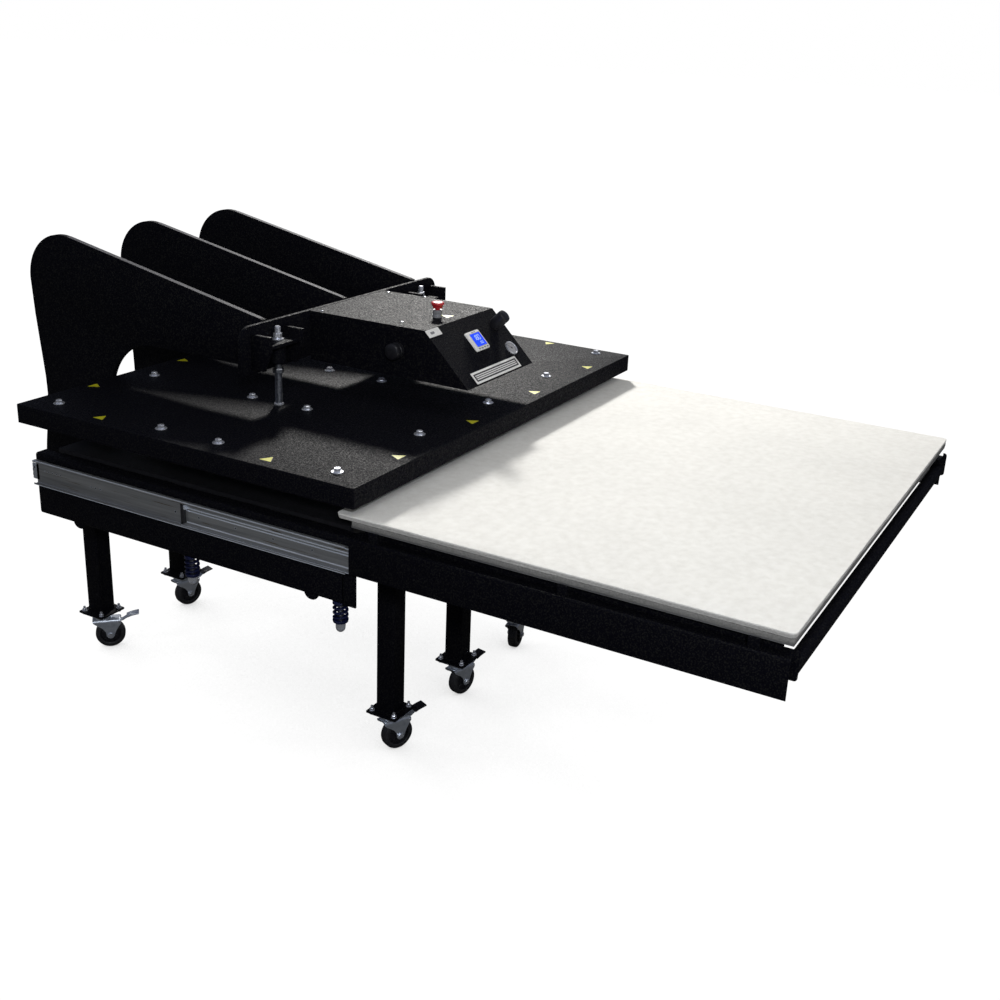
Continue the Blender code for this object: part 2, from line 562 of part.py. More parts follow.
def main():
    clear_scene()
    mats = make_materials()
    # The origin is under the middle of the whole press, between its rear edge and the tube's front.
    centre = empty("press_centre", (0, -(REAR_Y + TUBE_FRONT) / 2, 0))
    for label, x in zip(("left", "center", "right"), FRAME_X):
        make_c_frame(f"c_frame_{label}", x, mats["powder"], centre)
        make_air_spring(f"air_spring_{label}", x, mats["rubber"], centre)
    make_base_frame(mats["powder"], centre)
    make_cross_beam(mats["powder"], centre)
    make_platen(mats, centre)
    make_press_bed(mats["powder"], centre)
    for label, side in (("left", -1), ("right", 1)):
        make_hanger_rod(f"hanger_rod_{label}", side, mats["steel"], centre)
        make_rail_carrier(f"rail_carrier_{label}", side, mats["powder"], centre)
        make_slides(side, label, mats, centre)
        for place, y in zip(("front", "rear"), SPRING_Y):
            make_spring_bolt(f"spring_bolt_{place}_{label}", side, y, mats["steel"], centre)
            make_return_spring(f"return_spring_{place}_{label}", side, y, mats["spring"], centre)
    make_table_frame(mats["powder"], centre)
    make_table_top(mats, centre)
    make_pull_tube(mats["powder"], centre)
    make_control_box(mats, centre)
    make_panel_pieces(mats, centre)
    make_buttons(mats, centre)
    make_casters(mats, centre)


main()
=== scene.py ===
"""The looks of a large air-operated heat press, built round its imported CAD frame.

Metres, +Z up, the operator stands at -Y. Sizes come from the CAD nodes' boxes. Builders work in the
press's own frame, whose origin is on the floor under the middle of the platen, like part.py's.
"""

import math

import bmesh
import bpy
from mathutils import Matrix, Vector, noise


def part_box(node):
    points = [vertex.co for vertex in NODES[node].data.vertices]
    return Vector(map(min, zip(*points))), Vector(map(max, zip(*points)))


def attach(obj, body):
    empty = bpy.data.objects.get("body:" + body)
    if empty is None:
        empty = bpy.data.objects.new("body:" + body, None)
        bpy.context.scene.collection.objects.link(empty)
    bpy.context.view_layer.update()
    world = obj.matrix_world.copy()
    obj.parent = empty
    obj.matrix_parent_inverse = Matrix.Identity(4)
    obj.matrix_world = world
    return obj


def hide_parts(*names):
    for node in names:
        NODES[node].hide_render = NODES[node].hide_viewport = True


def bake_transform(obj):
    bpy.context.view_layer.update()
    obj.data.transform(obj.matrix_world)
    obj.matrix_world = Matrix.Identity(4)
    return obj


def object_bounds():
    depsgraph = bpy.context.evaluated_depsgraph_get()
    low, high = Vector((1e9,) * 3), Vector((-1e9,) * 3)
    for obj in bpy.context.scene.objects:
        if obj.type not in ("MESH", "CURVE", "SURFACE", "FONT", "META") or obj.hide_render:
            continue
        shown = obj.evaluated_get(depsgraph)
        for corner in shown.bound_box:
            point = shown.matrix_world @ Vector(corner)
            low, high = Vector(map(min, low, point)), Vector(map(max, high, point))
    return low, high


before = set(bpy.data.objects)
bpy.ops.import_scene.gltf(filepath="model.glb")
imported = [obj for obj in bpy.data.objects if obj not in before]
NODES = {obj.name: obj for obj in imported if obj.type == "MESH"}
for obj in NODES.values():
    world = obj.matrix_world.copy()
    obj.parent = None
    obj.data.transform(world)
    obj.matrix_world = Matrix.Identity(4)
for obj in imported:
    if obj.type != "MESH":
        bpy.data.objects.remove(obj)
CAD_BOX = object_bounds()

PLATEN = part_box("platen_cover")
CENTRE = Vector((0, (PLATEN[0].y + PLATEN[1].y) / 2, 0))
SIDES = (("left", -1), ("right", 1))
COLUMNS = ("left", "center", "right")
PLACES = [f"{row}_{column}" for row in ("front", "rear") for column in COLUMNS]


def box(node):
    """A CAD node's lowest and highest corner in the press's frame."""
    low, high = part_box(node)
    return low - CENTRE, high - CENTRE


def middle(node):
    low, high = box(node)
    return (low + high) / 2


def upright(node):
    """The floor point under a CAD node's middle."""
    centre = middle(node)
    return centre.x, centre.y, 0


def add_object(name, data):
    made = bpy.data.objects.new(name, data)
    bpy.context.scene.collection.objects.link(made)
    return made


def add_mesh(name, form):
    """A mesh made of a bmesh, which is freed."""
    mesh = bpy.data.meshes.new(name)
    form.to_mesh(mesh)
    form.free()
    return mesh


# ---- materials -----------------------------------------------------------------------------
def add_node(tree, kind, settings=(), **inputs):
    made = tree.nodes.new(kind)
    for key, value in dict(settings).items():
        setattr(made, key, value)
    for key, value in inputs.items():
        socket = made.inputs[key.replace("_", " ")]
        if isinstance(value, bpy.types.NodeSocket):
            tree.links.new(value, socket)
        else:
            socket.default_value = value
    return made


def mixed(tree, factor, first, second, kind="RGBA"):
    """A colour between two colours or sockets, or with the kind FLOAT a number between two numbers."""
    made = tree.nodes.new("ShaderNodeMix")
    made.data_type = kind
    first_index, output = (6, 2) if kind == "RGBA" else (2, 0)
    for index, value in ((0, factor), (first_index, first), (first_index + 1, second)):
        socket = made.inputs[index]
        if isinstance(value, bpy.types.NodeSocket):
            tree.links.new(value, socket)
        else:
            socket.default_value = (*value, 1) if isinstance(value, tuple) else value
    return made.outputs[output]


def spread(tree, value, from_low, from_high, to_low, to_high):
    made = add_node(tree, "ShaderNodeMapRange", {"clamp": True}, Value=value)
    for key, number in (("From Min", from_low), ("From Max", from_high), ("To Min", to_low), ("To Max", to_high)):
        made.inputs[key].default_value = number
    return made.outputs[0]


def finish(name, dark, light, rough, grain=60, relief=(900, 0.2), stretch=(1, 1, 1), specks=None, blotch=0.0,
           **fixed):
    """A Principled finish whose colour, roughness and relief all vary with noise over the object.

    grain and relief hold noise scales in 1/m. specks is (scale, share, colour), for painted sparkle, that is glints
    drawn into the colour, or for fibres.
    """
    made = bpy.data.materials.new(name)
    made.use_nodes = True
    tree = made.node_tree
    shader = tree.nodes["Principled BSDF"]
    place = add_node(tree, "ShaderNodeTexCoord").outputs["Object"]
    place = add_node(tree, "ShaderNodeMapping", Vector=place, Scale=stretch).outputs[0]
    cloud = add_node(tree, "ShaderNodeTexNoise", Vector=place, Scale=grain, Detail=4.0, Roughness=0.6)
    tone = spread(tree, cloud.outputs["Fac"], 0.3, 0.7, 0, 1)
    colour = mixed(tree, tone, dark, light)
    if blotch:
        wide = add_node(tree, "ShaderNodeTexNoise", Vector=place, Scale=grain / 12, Detail=3.0)
        shade = spread(tree, wide.outputs["Fac"], 0.35, 0.65, 1 - blotch, 1 + blotch)
        scaled = add_node(tree, "ShaderNodeVectorMath", {"operation": "SCALE"}, Scale=shade)
        tree.links.new(colour, scaled.inputs[0])
        colour = scaled.outputs[0]
    if specks:
        scale, share, speck = specks
        dots = add_node(tree, "ShaderNodeTexNoise", Vector=place, Scale=scale, Detail=1.0)
        colour = mixed(tree, spread(tree, dots.outputs["Fac"], 1 - share, 1.03 - share, 0, 1), colour, speck)
    tree.links.new(colour, shader.inputs["Base Color"])
    fine = add_node(tree, "ShaderNodeTexNoise", Vector=place, Scale=relief[0], Detail=3.0, Roughness=0.65)
    tree.links.new(spread(tree, fine.outputs["Fac"], 0.3, 0.7, *rough), shader.inputs["Roughness"])
    bump = add_node(tree, "ShaderNodeBump", Height=fine.outputs["Fac"], Strength=relief[1], Distance=0.4 / relief[0])
    tree.links.new(bump.outputs[0], shader.inputs["Normal"])
    for key, value in fixed.items():
        shader.inputs[key.replace("_", " ")].default_value = value
    return made


def make_finishes():
    return {
        # The lighter specks in the black powder coat stand for its sparkle: painted glints drawn into the colour.
        "powder": finish("black_powder_coat", (0.0008, 0.0008, 0.003), (0.002, 0.002, 0.005), (0.30, 1.0), 90,
                         (240, 1.0), specks=(260, 0.44, (0.011, 0.011, 0.011)), Specular_IOR_Level=0.085),
        # A lighter copy of the black powder coat for the C plates' top edges: a painted highlight, with painted
        # glints in its specks.
        "painted_edge_highlight": finish("lit_powder_edge", (0.020, 0.020, 0.026), (0.050, 0.050, 0.062), (0.5, 0.8), 90,
                       (420, 0.8), specks=(320, 0.42, (0.13, 0.13, 0.15)), Specular_IOR_Level=0.12),
        "cast": finish("cast_black_bed", (0.004, 0.004, 0.005), (0.012, 0.012, 0.014), (0.4, 0.6), 40, (300, 0.5)),
        "black": finish("black_plastic", (0.006, 0.006, 0.008), (0.014, 0.014, 0.017), (0.28, 0.42), 120,
                        (1500, 0.12)),
        "zinc": finish("bright_zinc", (0.50, 0.54, 0.60), (0.70, 0.74, 0.80), (0.30, 0.46), 45, (700, 0.16),
                       blotch=0.12, Metallic=0.75),
        "rail": finish("rolled_zinc_rail", (0.26, 0.27, 0.28), (0.40, 0.41, 0.42), (0.30, 0.48), 120, (900, 0.12),
                       stretch=(1, 0.03, 1), specks=(260, 0.30, (0.16, 0.13, 0.09)), blotch=0.15, Metallic=0.7),
        # A bright, bluish copy of the rail's zinc for its lips, ridges, hole rims and the bumper's bracket: a painted
        # highlight.
        "lip": finish("painted_highlight_zinc_lip", (0.66, 0.72, 0.82), (0.84, 0.88, 0.96), (0.28, 0.42), 150, (900, 0.08),
                      stretch=(1, 0.05, 1), Metallic=0.5),
        "steel": finish("bright_steel", (0.66, 0.68, 0.74), (0.86, 0.88, 0.93), (0.18, 0.34), 150, (1400, 0.10),
                        Metallic=0.75),
        "thread": finish("oiled_thread", (0.16, 0.17, 0.19), (0.42, 0.43, 0.45), (0.3, 0.5), 160, (900, 0.3),
                         Metallic=1.0),
        "aluminium": finish("mill_aluminium", (0.55, 0.55, 0.56), (0.78, 0.78, 0.78), (0.28, 0.48), 60, (500, 0.15),
                            stretch=(1, 0.1, 1), Metallic=1.0),
        "felt": finish("white_pressed_felt", (0.74, 0.73, 0.695), (0.86, 0.855, 0.825), (0.85, 1.0), 42, (420, 0.5),
                       specks=(700, 0.40, (0.92, 0.915, 0.89)), blotch=0.025, Sheen_Weight=0.25, Sheen_Roughness=0.6),
        # A grey copy of the white felt for the lower plies, whose sides show: painted shade on the pad's side.
        "painted_shade_felt": finish("painted_shade_felt_side", (0.36, 0.355, 0.34), (0.60, 0.59, 0.57), (0.85, 1.0), 160, (500, 0.6),
                            stretch=(1, 1, 4), Sheen_Weight=0.3),
        "silicone": finish("grey_silicone_sponge", (0.15, 0.15, 0.145), (0.27, 0.265, 0.255), (0.6, 0.85), 220,
                           (900, 0.4), specks=(900, 0.33, (0.10, 0.10, 0.10))),
        "rubber": finish("black_rubber", (0.006, 0.006, 0.008), (0.018, 0.018, 0.02), (0.5, 0.72), 90, (800, 0.25)),
        "tread": finish("wheel_tread", (0.008, 0.008, 0.010), (0.024, 0.024, 0.026), (0.42, 0.66), 70, (600, 0.3),
                        specks=(420, 0.33, (0.05, 0.05, 0.05))),
        "navy": finish("navy_spring_enamel", (0.003, 0.005, 0.030), (0.008, 0.012, 0.060), (0.22, 0.38), 80,
                       (800, 0.15), Coat_Weight=0.3),
        "red": finish("red_moulding", (0.42, 0.012, 0.020), (0.56, 0.030, 0.040), (0.28, 0.42), 120, (1500, 0.08),
                      Subsurface_Weight=0.05),
        "white": finish("white_moulding", (0.74, 0.74, 0.73), (0.86, 0.86, 0.85), (0.32, 0.46), 120, (1800, 0.06)),
        "dial": finish("grey_dial", (0.32, 0.32, 0.34), (0.46, 0.46, 0.48), (0.3, 0.45), 200, (1200, 0.06)),
        "grey": finish("grey_moulding", (0.16, 0.165, 0.18), (0.26, 0.265, 0.28), (0.35, 0.5), 150, (1500, 0.1)),
        "yellow": finish("yellow_vinyl", (0.44, 0.42, 0.004), (0.58, 0.56, 0.012), (0.35, 0.5), 200, (1200, 0.08)),
        "ink": finish("black_print", (0.008, 0.008, 0.009), (0.022, 0.022, 0.024), (0.4, 0.55), 300, (1500, 0.05)),
        "screen": finish("blue_display", (0.01, 0.03, 0.75), (0.02, 0.07, 0.95), (0.12, 0.2), 500, (2000, 0.02),
                         Emission_Color=(0.01, 0.06, 1.0, 1), Emission_Strength=0.85),
        "digits": finish("pale_digits", (0.42, 0.55, 0.95), (0.55, 0.66, 1.0), (0.2, 0.3), 500, (2000, 0.02),
                         Emission_Color=(0.35, 0.5, 1.0, 1), Emission_Strength=0.6),
        # Near-black for holes, notches and screw recesses drawn as flat marks: painted shade where the opening would
        # be.
        "hole": finish("painted_shade_hole_mark", (0.002, 0.002, 0.002), (0.005, 0.005, 0.006), (0.7, 0.9), 300, (900, 0.1)),
    }


FINISH = make_finishes()


# ---- mesh helpers --------------------------------------------------------------------------
def placed(points, axis, depth):
    """2D points in the plane across the axis, as 3D points at this depth along it."""
    order = {"x": lambda a, b: (depth, a, b), "y": lambda a, b: (a, depth, b), "z": lambda a, b: (a, b, depth)}
    return [order[axis](a, b) for a, b in points]


def skin(rings, closed_ends=True, looped=False):
    """Faces between rings of points that all have the same number of points."""
    form = bmesh.new()
    rows = [[form.verts.new(p) for p in ring] for ring in rings]
    count = len(rows[0])
    pairs = list(zip(rows, rows[1:])) + ([(rows[-1], rows[0])] if looped else [])
    for a, b in pairs:
        for i in range(count):
            j = (i + 1) % count
            form.faces.new((a[i], a[j], b[j], b[i]))
    if closed_ends and not looped:
        form.faces.new(rows[0])
        form.faces.new(rows[-1])
    bmesh.ops.recalc_face_normals(form, faces=form.faces)
    return form


def prism(outline, axis, low, high):
    """A closed outline swept along an axis. Across x it is (y, z), across y (x, z), across z (x, y)."""
    return skin([placed(outline, axis, low), placed(outline, axis, high)])


def block(low, high):
    rectangle = [(low[0], low[1]), (high[0], low[1]), (high[0], high[1]), (low[0], high[1])]
    return prism(rectangle, "z", low[2], high[2])


def side_block(side, near, far, ys, zs):
    """A block on the left (-1) or right (1), between two distances from the press's middle plane."""
    left, right = sorted((side * near, side * far))
    return block((left, ys[0], zs[0]), (right, ys[1], zs[1]))


def ring_across_x(x, y, z, radius):
    """A closed circle of points round a tube that lies along x."""
    turns = [math.tau * k / 24 for k in range(25)]
    return [(x, y + radius * math.cos(t), z + radius * math.sin(t)) for t in turns]


TURN = {"x": Matrix.Rotation(math.pi / 2, 3, "Y"), "y": Matrix.Rotation(-math.pi / 2, 3, "X"),
        "z": Matrix.Identity(3)}


def turned(profile, sides=48, axis="z", at=(0, 0, 0), phase=0.0):
    """A profile of (radius, height) turned about an axis. A profile that starts off the axis closes as a ring."""
    tiny = 1e-5
    ring_shaped = profile[0][0] > tiny
    angles = [math.tau * k / sides + phase for k in range(sides)]
    rings = [[(max(r, tiny) * math.cos(t), max(r, tiny) * math.sin(t), h) for t in angles] for r, h in profile]
    form = skin(rings, looped=ring_shaped)
    bmesh.ops.transform(form, matrix=Matrix.Translation(at) @ TURN[axis].to_4x4(), verts=form.verts)
    return form


def rod(radius, low, high, sides=32, axis="z", at=(0, 0, 0), edge=0.0):
    profile = [(0, low), (radius - edge, low), (radius, low + edge), (radius, high - edge), (radius - edge, high),
               (0, high)]
    return turned(profile if edge else [(0, low), (radius, low), (radius, high), (0, high)], sides, axis, at)


def tube(inner, outer, low, high, sides, axis="z", at=(0, 0, 0)):
    return turned([(inner, low), (outer, low), (outer, high), (inner, high)], sides, axis, at)


def hexagon(across, low, high, axis="z", at=(0, 0, 0), phase=0.0):
    """A hexagon nut or head with chamfered corners. across is its size across the flats."""
    corner = across / math.sqrt(3)
    cut = 0.09 * across
    profile = [(0, low), (0.88 * corner, low), (corner, low + cut), (corner, high - cut), (0.88 * corner, high),
               (0, high)]
    return turned(profile, 6, axis, at, phase)


def arc(centre, radius, start, end, steps=10):
    """Points on a circle from one angle to another, in degrees."""
    angles = (math.radians(start + (end - start) * k / steps) for k in range(steps + 1))
    return [(centre[0] + radius * math.cos(a), centre[1] + radius * math.sin(a)) for a in angles]


def rounded(low, high, radius, steps=6):
    """A rectangle with round corners, between two 2D corners."""
    corners = ((high[0] - radius, high[1] - radius, 0), (low[0] + radius, high[1] - radius, 90),
               (low[0] + radius, low[1] + radius, 180), (high[0] - radius, low[1] + radius, 270))
    return [p for a, b, start in corners for p in arc((a, b), radius, start, start + 90, steps)]


def filleted(points, radius, steps=4):
    """An open 2D line with each inner corner rounded."""
    line = [Vector(p) for p in points]
    made = [line[0]]
    for before, corner, after in zip(line, line[1:], line[2:]):
        reach = min(radius, (before - corner).length / 2.01, (after - corner).length / 2.01)
        first = corner + (before - corner).normalized() * reach
        last = corner + (after - corner).normalized() * reach
        for k in range(steps + 1):
            t = k / steps
            made.append(first * (1 - t) ** 2 + corner * (2 * t * (1 - t)) + last * t ** 2)
    return made + [line[-1]]


def strip(points, thickness, radius=0.0, steps=4):
    """The closed outline of a sheet bent along a 2D line, which runs through the middle of its thickness."""
    line = filleted(points, radius, steps) if radius else [Vector(p) for p in points]
    sides = ([], [])
    for i, p in enumerate(line):
        before, after = line[max(i - 1, 0)], line[min(i + 1, len(line) - 1)]
        one = (p - before).normalized() if i else (after - p).normalized()
        two = (after - p).normalized() if i < len(line) - 1 else one
        across = Vector((-(one + two).y, (one + two).x)).normalized()
        reach = thickness / 2 / max(across.dot(Vector((-one.y, one.x))), 0.5)
        sides[0].append(tuple(p + across * reach))
        sides[1].append(tuple(p - across * reach))
    return sides[0] + sides[1][::-1]


def mirrored(outline, side):
    return [(side * a, b) for a, b in outline]


def soften(form, width, segments=2, above=30):
    """Rounds the edges that are sharper than an angle in degrees."""
    bmesh.ops.remove_doubles(form, verts=form.verts, dist=1e-6)
    sharp = [e for e in form.edges if len(e.link_faces) == 2 and e.calc_face_angle(0) > math.radians(above)]
    bmesh.ops.bevel(form, geom=sharp, offset=width, segments=segments, profile=0.5, affect="EDGES",
                    clamp_overlap=True)
    return form


def moved(form, matrix):
    bmesh.ops.transform(form, matrix=matrix, verts=form.verts)
    return form


def shifted(form, *offset):
    return moved(form, Matrix.Translation(offset))


def bead(points, radius, ripple=0.0035):
    """A weld bead along a 3D line: a tube with the ripples of its weld pool."""
    rings = []
    travelled = 0.0
    for a, b in zip(points, points[1:]):
        a, b = Vector(a), Vector(b)
        run = (b - a).length
        along = (b - a).normalized()
        out = along.orthogonal().normalized()
        up = along.cross(out)
        for k in range(max(2, int(run / ripple * 2))):
            distance = run * k / max(2, int(run / ripple * 2))
            swell = radius * (0.86 + 0.14 * math.cos(math.tau * (travelled + distance) / ripple))
            centre = a + along * distance
            rings.append([centre + (out * math.cos(math.tau * s / 8) + up * math.sin(math.tau * s / 8)) * swell
                          for s in range(8)])
        travelled += run
    return skin(rings)


# ---- pieces --------------------------------------------------------------------------------
SMOOTH_BELOW = 32


def piece(name, body, slot, *shapes, replaces=(), ride=True, at=None):
    """Joins (shape, finish) pairs into one piece that rides on a body. at places it, in the press's frame."""
    whole = bmesh.new()
    finishes = []
    for form, kind in shapes:
        if kind not in finishes:
            finishes.append(kind)
        for face in form.faces:
            face.material_index = finishes.index(kind)
            face.smooth = True
        part = add_mesh("part", form)
        whole.from_mesh(part)
        bpy.data.meshes.remove(part)
    mesh = add_mesh(name, whole)
    for kind in finishes:
        mesh.materials.append(FINISH[kind])
    mesh.set_sharp_from_angle(angle=math.radians(SMOOTH_BELOW))
    made = add_object(name, mesh)
    made.matrix_world = Matrix.Translation(CENTRE) @ (at or Matrix.Identity(4))
    bpy.context.view_layer.update()
    if ride:
        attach(made, body)
    if replaces:
        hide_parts(*replaces)
    return made


def keep_node(name, kind, edge=0.0012):
    """Shows a CAD node as it is, with a better finish and soft edges."""
    node = NODES[name]
    node.data.materials.clear()
    node.data.materials.append(FINISH[kind])
    if edge:
        bevel = node.modifiers.new("soft edges", "BEVEL")
        bevel.width, bevel.segments, bevel.limit_method, bevel.angle_limit = edge, 2, "ANGLE", math.radians(40)
        bevel.harden_normals = True


def bolt_head(at, across=0.013, height=0.0075, washer=0.012, turn=0.0):
    """A hexagon head on a flat washer, standing on a level face."""
    x, y, z = at
    return [
        (turned([(0.004, 0), (washer, 0), (washer, 0.0016), (washer - 0.0006, 0.0022), (0.004, 0.0022)], 32,
                at=at), "steel"),
        (hexagon(across, z + 0.0022, z + 0.0022 + height, at=(x, y, 0), phase=turn), "steel"),
        (turned([(0, height - 0.001), (0.0042, height - 0.001), (0.0038, height + 0.0004), (0, height + 0.0002)], 20,
                at=(x, y, z + 0.0022)), "steel"),
    ]


def screw_head(at, axis="z", side=1, radius=0.0045, height=0.0026, kind="steel"):
    """A pan head whose cross recess is two dark bars on its top: painted shade, not a cut."""
    dome = [(0, 0), (radius, 0), (radius, 0.3 * height), (0.8 * radius, 0.8 * height), (0.4 * radius, height),
            (0, height)]
    slots = [block((-0.6 * radius, -0.12 * radius, 0.90 * height), (0.6 * radius, 0.12 * radius, 1.04 * height)),
             block((-0.12 * radius, -0.6 * radius, 0.90 * height), (0.12 * radius, 0.6 * radius, 1.04 * height))]
    flip = Matrix.Scale(side, 4, (0, 0, 1))
    place = Matrix.Translation(at) @ TURN[axis].to_4x4() @ flip
    shapes = [(turned(dome, 20), kind), *[(slot, "hole") for slot in slots]]
    made = [(moved(form, place), finish_name) for form, finish_name in shapes]
    for form, _ in made:
        bmesh.ops.recalc_face_normals(form, faces=form.faces)
    return made


# ---- C frames ------------------------------------------------------------------------------
LEG_Y = (-0.42, 0.807)
LEG_HALF, FOOT_HALF = 0.03175, 0.0545
ARM_BOTTOM, ARM_TOP, ARM_FRONT = 0.565, 0.745, -0.475


def c_plate_outline(rear, top):
    crown_radius = 0.155
    crown = (rear - crown_radius - 0.001, top - crown_radius)
    throat, throat_radius = (0.484, 0.955), 0.193
    wall = throat[0] + throat_radius
    tip = 0.039
    return [
        *arc((ARM_FRONT + 0.06, ARM_BOTTOM + 0.06), 0.06, 180, 270, 10),
        *arc((rear - 0.08, ARM_BOTTOM + 0.08), 0.08, 270, 360, 12),
        *[(rear + a, b) for a, b in ((0, 0.660), (-0.010, 0.735), (-0.021, 0.800), (-0.031, 0.855), (-0.035, 0.909),
                                     (-0.033, 0.965), (-0.027, 1.020), (-0.019, 1.090), (-0.009, 1.180))],
        *arc(crown, crown_radius, 0, 100.9, 32),
        (tip, 1.298), (tip, 1.152), (tip + 0.011, throat[1] + throat_radius),
        *arc(throat, throat_radius, 90, 0, 28),
        *arc((wall - 0.04, ARM_TOP + 0.04), 0.04, 0, -90, 8),
        *arc((ARM_FRONT + 0.03, ARM_TOP - 0.03), 0.03, 90, 180, 8),
    ]


def square_loop(y, half, z, x=0.0):
    """Corners of a level square about a leg, closed."""
    return [(x - half, y - half, z), (x + half, y - half, z), (x + half, y + half, z), (x - half, y + half, z),
            (x - half, y - half, z)]


def make_c_frame(column):
    """The thick C plate, its two square legs with foot plates, and the welds between them."""
    low, high = box(f"c_frame_{column}")
    x = (low.x + high.x) / 2
    half = 0.0095
    foot_low, foot_high = low.z, low.z + 0.006
    shapes = [(soften(prism(c_plate_outline(high.y, high.z), "x", x - half, x + half), 0.0011), "powder")]
    crown = high.y - 0.156
    # A thin strip along the arm's sloping top edge in a lighter finish: a painted highlight where the light catches
    # the edge.
    slope = strip([(0.050, 1.3001), (crown - 0.030, high.z - 0.0029)], 0.0006)
    shapes.append((prism([(y, z + 0.0004) for y, z in slope], "x", x - half + 0.0012, x + half - 0.0012), "painted_edge_highlight"))
    for y in LEG_Y:
        leg = prism(rounded((x - LEG_HALF, y - LEG_HALF), (x + LEG_HALF, y + LEG_HALF), 0.006), "z",
                    foot_high - 0.001, ARM_BOTTOM + 0.012)
        foot = prism(rounded((x - FOOT_HALF, y - FOOT_HALF), (x + FOOT_HALF, y + FOOT_HALF), 0.004), "z",
                     foot_low, foot_high)
        shapes += [(soften(leg, 0.0008, above=60), "powder"), (soften(foot, 0.0007, above=60), "powder")]
        shapes.append((bead(square_loop(y, LEG_HALF + 0.0005, foot_high, x), 0.0034), "powder"))
        for side in (-1, 1):
            seam = x + side * half
            ends = (y - LEG_HALF + 0.003, y + LEG_HALF - 0.003)
            z = ARM_BOTTOM + 0.0125
            shapes.append((bead([(seam, ends[0], z), (seam, ends[1], z)], 0.0032), "powder"))
    piece(f"c_frame_{column}_weldment", "frame", "powder_coat", *shapes, replaces=[f"c_frame_{column}"])


def make_foot_hardware(place, x, y, z_low):
    """The caster's fixed top plate under the foot plate, and its four bolts with their nuts."""
    offset, plate = 0.0405, 0.050
    top = prism(rounded((x - plate, y - plate + 0.003), (x + plate, y + plate - 0.003), 0.005), "z", z_low - 0.0042,
                z_low - 0.0002)
    shapes = [(soften(top, 0.0006, above=60), "zinc")]
    for dx in (-offset, offset):
        for dy in (-offset, offset):
            nut = z_low + 0.006
            at = (x + dx, y + dy, 0)
            turn = 0.4 + 9 * dx + 23 * dy
            shapes += [
                (tube(0.003, 0.0085, nut, nut + 0.0014, 24, at=at), "steel"),
                (hexagon(0.0130, nut + 0.0014, nut + 0.0090, at=at, phase=turn), "steel"),
                (rod(0.0042, nut, nut + 0.0170, 16, at=at, edge=0.0008), "steel"),
                (turned([(0, -0.0040), (0.0062, -0.0030), (0.0075, -0.0002), (0, 0)], 24,
                        at=(x + dx, y + dy, z_low - 0.0042)), "zinc"),
            ]
    piece(f"caster_mount_{place}", "frame", "zinc_plate", *shapes)


# ---- base and upper structure --------------------------------------------------------------
def make_base_frame():
    low, high = box("base_frame")
    tie_y, tie_z, tie_radius, bottom = 0.43, 0.699, 0.022, 0.690
    inner, outer = high.x - 0.050, high.x - 0.003
    beam = [(inner, high.z - 0.003), (outer, high.z - 0.003), (outer, bottom + 0.003), (inner, bottom + 0.003)]
    flange_front, web = -0.540, 0.006
    shapes = []
    for side in (-1, 1):
        section = mirrored(strip(beam, web, 0.009), side)
        shapes.append((soften(prism(section, "y", flange_front, high.y), 0.0008, above=50), "powder"))
        nose = side_block(side, high.x, high.x - web, (low.y, flange_front + 0.004),
                          (bottom + 0.0005, high.z - 0.0005))
        shapes.append((soften(nose, 0.0008), "powder"))
        for y in (-tie_y, tie_y):
            ring = ring_across_x(side * (high.x - web - 0.001), y, tie_z, tie_radius)
            shapes.append((bead(ring, 0.0030), "powder"))
    for y in (-tie_y, tie_y):
        tie = rod(tie_radius, low.x + 0.001, high.x - 0.001, 48, "x", (0, y, tie_z), 0.0015)
        shapes.append((tie, "powder"))
    piece("base_weldment", "frame", "powder_coat", *shapes, replaces=["base_frame"])


def make_cross_beam():
    low, high = box("cross_beam")
    front, rear = high.y - 0.0127, high.y
    corner, half = 0.045, high.x
    outline = [(-half, low.z), (half, low.z), *arc((half - corner, high.z - corner), corner, 0, 90, 14),
               *arc((corner - half, high.z - corner), corner, 90, 180, 14)]
    shapes = [(soften(prism(outline, "y", front, rear), 0.0010), "powder")]
    shelf_low, shelf_high, apart, half_cheek, reach = 1.232, 1.243, 0.0725, 0.00635, low.y
    root = front + 0.002
    for side in (-1, 1):
        x, centre = side * middle("hanger_rod_right").x, side * middle("c_frame_right").x
        shelf = block((centre - apart, reach + 0.001, shelf_low), (centre + apart, root, shelf_high))
        shapes.append((soften(shelf, 0.0010), "powder"))
        bush = [(0.0114, 1.172), (0.0228, 1.172), (0.024, 1.1732), (0.024, 1.234), (0.0114, 1.234)]
        shapes.append((turned(bush, 40, at=(x, 0, 0)), "powder"))
        for offset in (-apart, apart):
            at = centre + offset
            cheek = [(root, 1.165), (root, 1.270), (reach, 1.270), (reach, 1.225), (-0.020, 1.165)]
            shapes.append((soften(prism(cheek, "x", at - half_cheek, at + half_cheek), 0.0010), "powder"))
            seam = at + half_cheek if offset < 0 else at - half_cheek
            shapes.append((bead([(seam, reach + 0.004, shelf_high), (seam, front, shelf_high)], 0.0024), "powder"))
        for dx, z in ((-0.052, 1.205), (0.119, 1.214), (0.119, 1.1745)):
            shapes.append((hexagon(0.017, 0, 0.008, "y", (side * (0.396 - dx), front - 0.008, z), 0.3), "powder"))
    piece("cross_beam_weldment", "frame", "powder_coat", *shapes, replaces=["cross_beam"])


def threaded(radius, low, high, at, pitch=0.0022):
    """A stud whose profile rises and falls with its thread."""
    turns = int((high - low) / pitch)
    profile = [(0, low), (radius - 0.0008, low)]
    for k in range(turns):
        start = low + pitch * k
        profile += [(radius - 0.0008, start + 0.15 * pitch), (radius, start + 0.45 * pitch),
                    (radius, start + 0.60 * pitch), (radius - 0.0008, start + 0.90 * pitch)]
    return turned(profile + [(radius - 0.0010, high), (0, high)], 28, at=at)


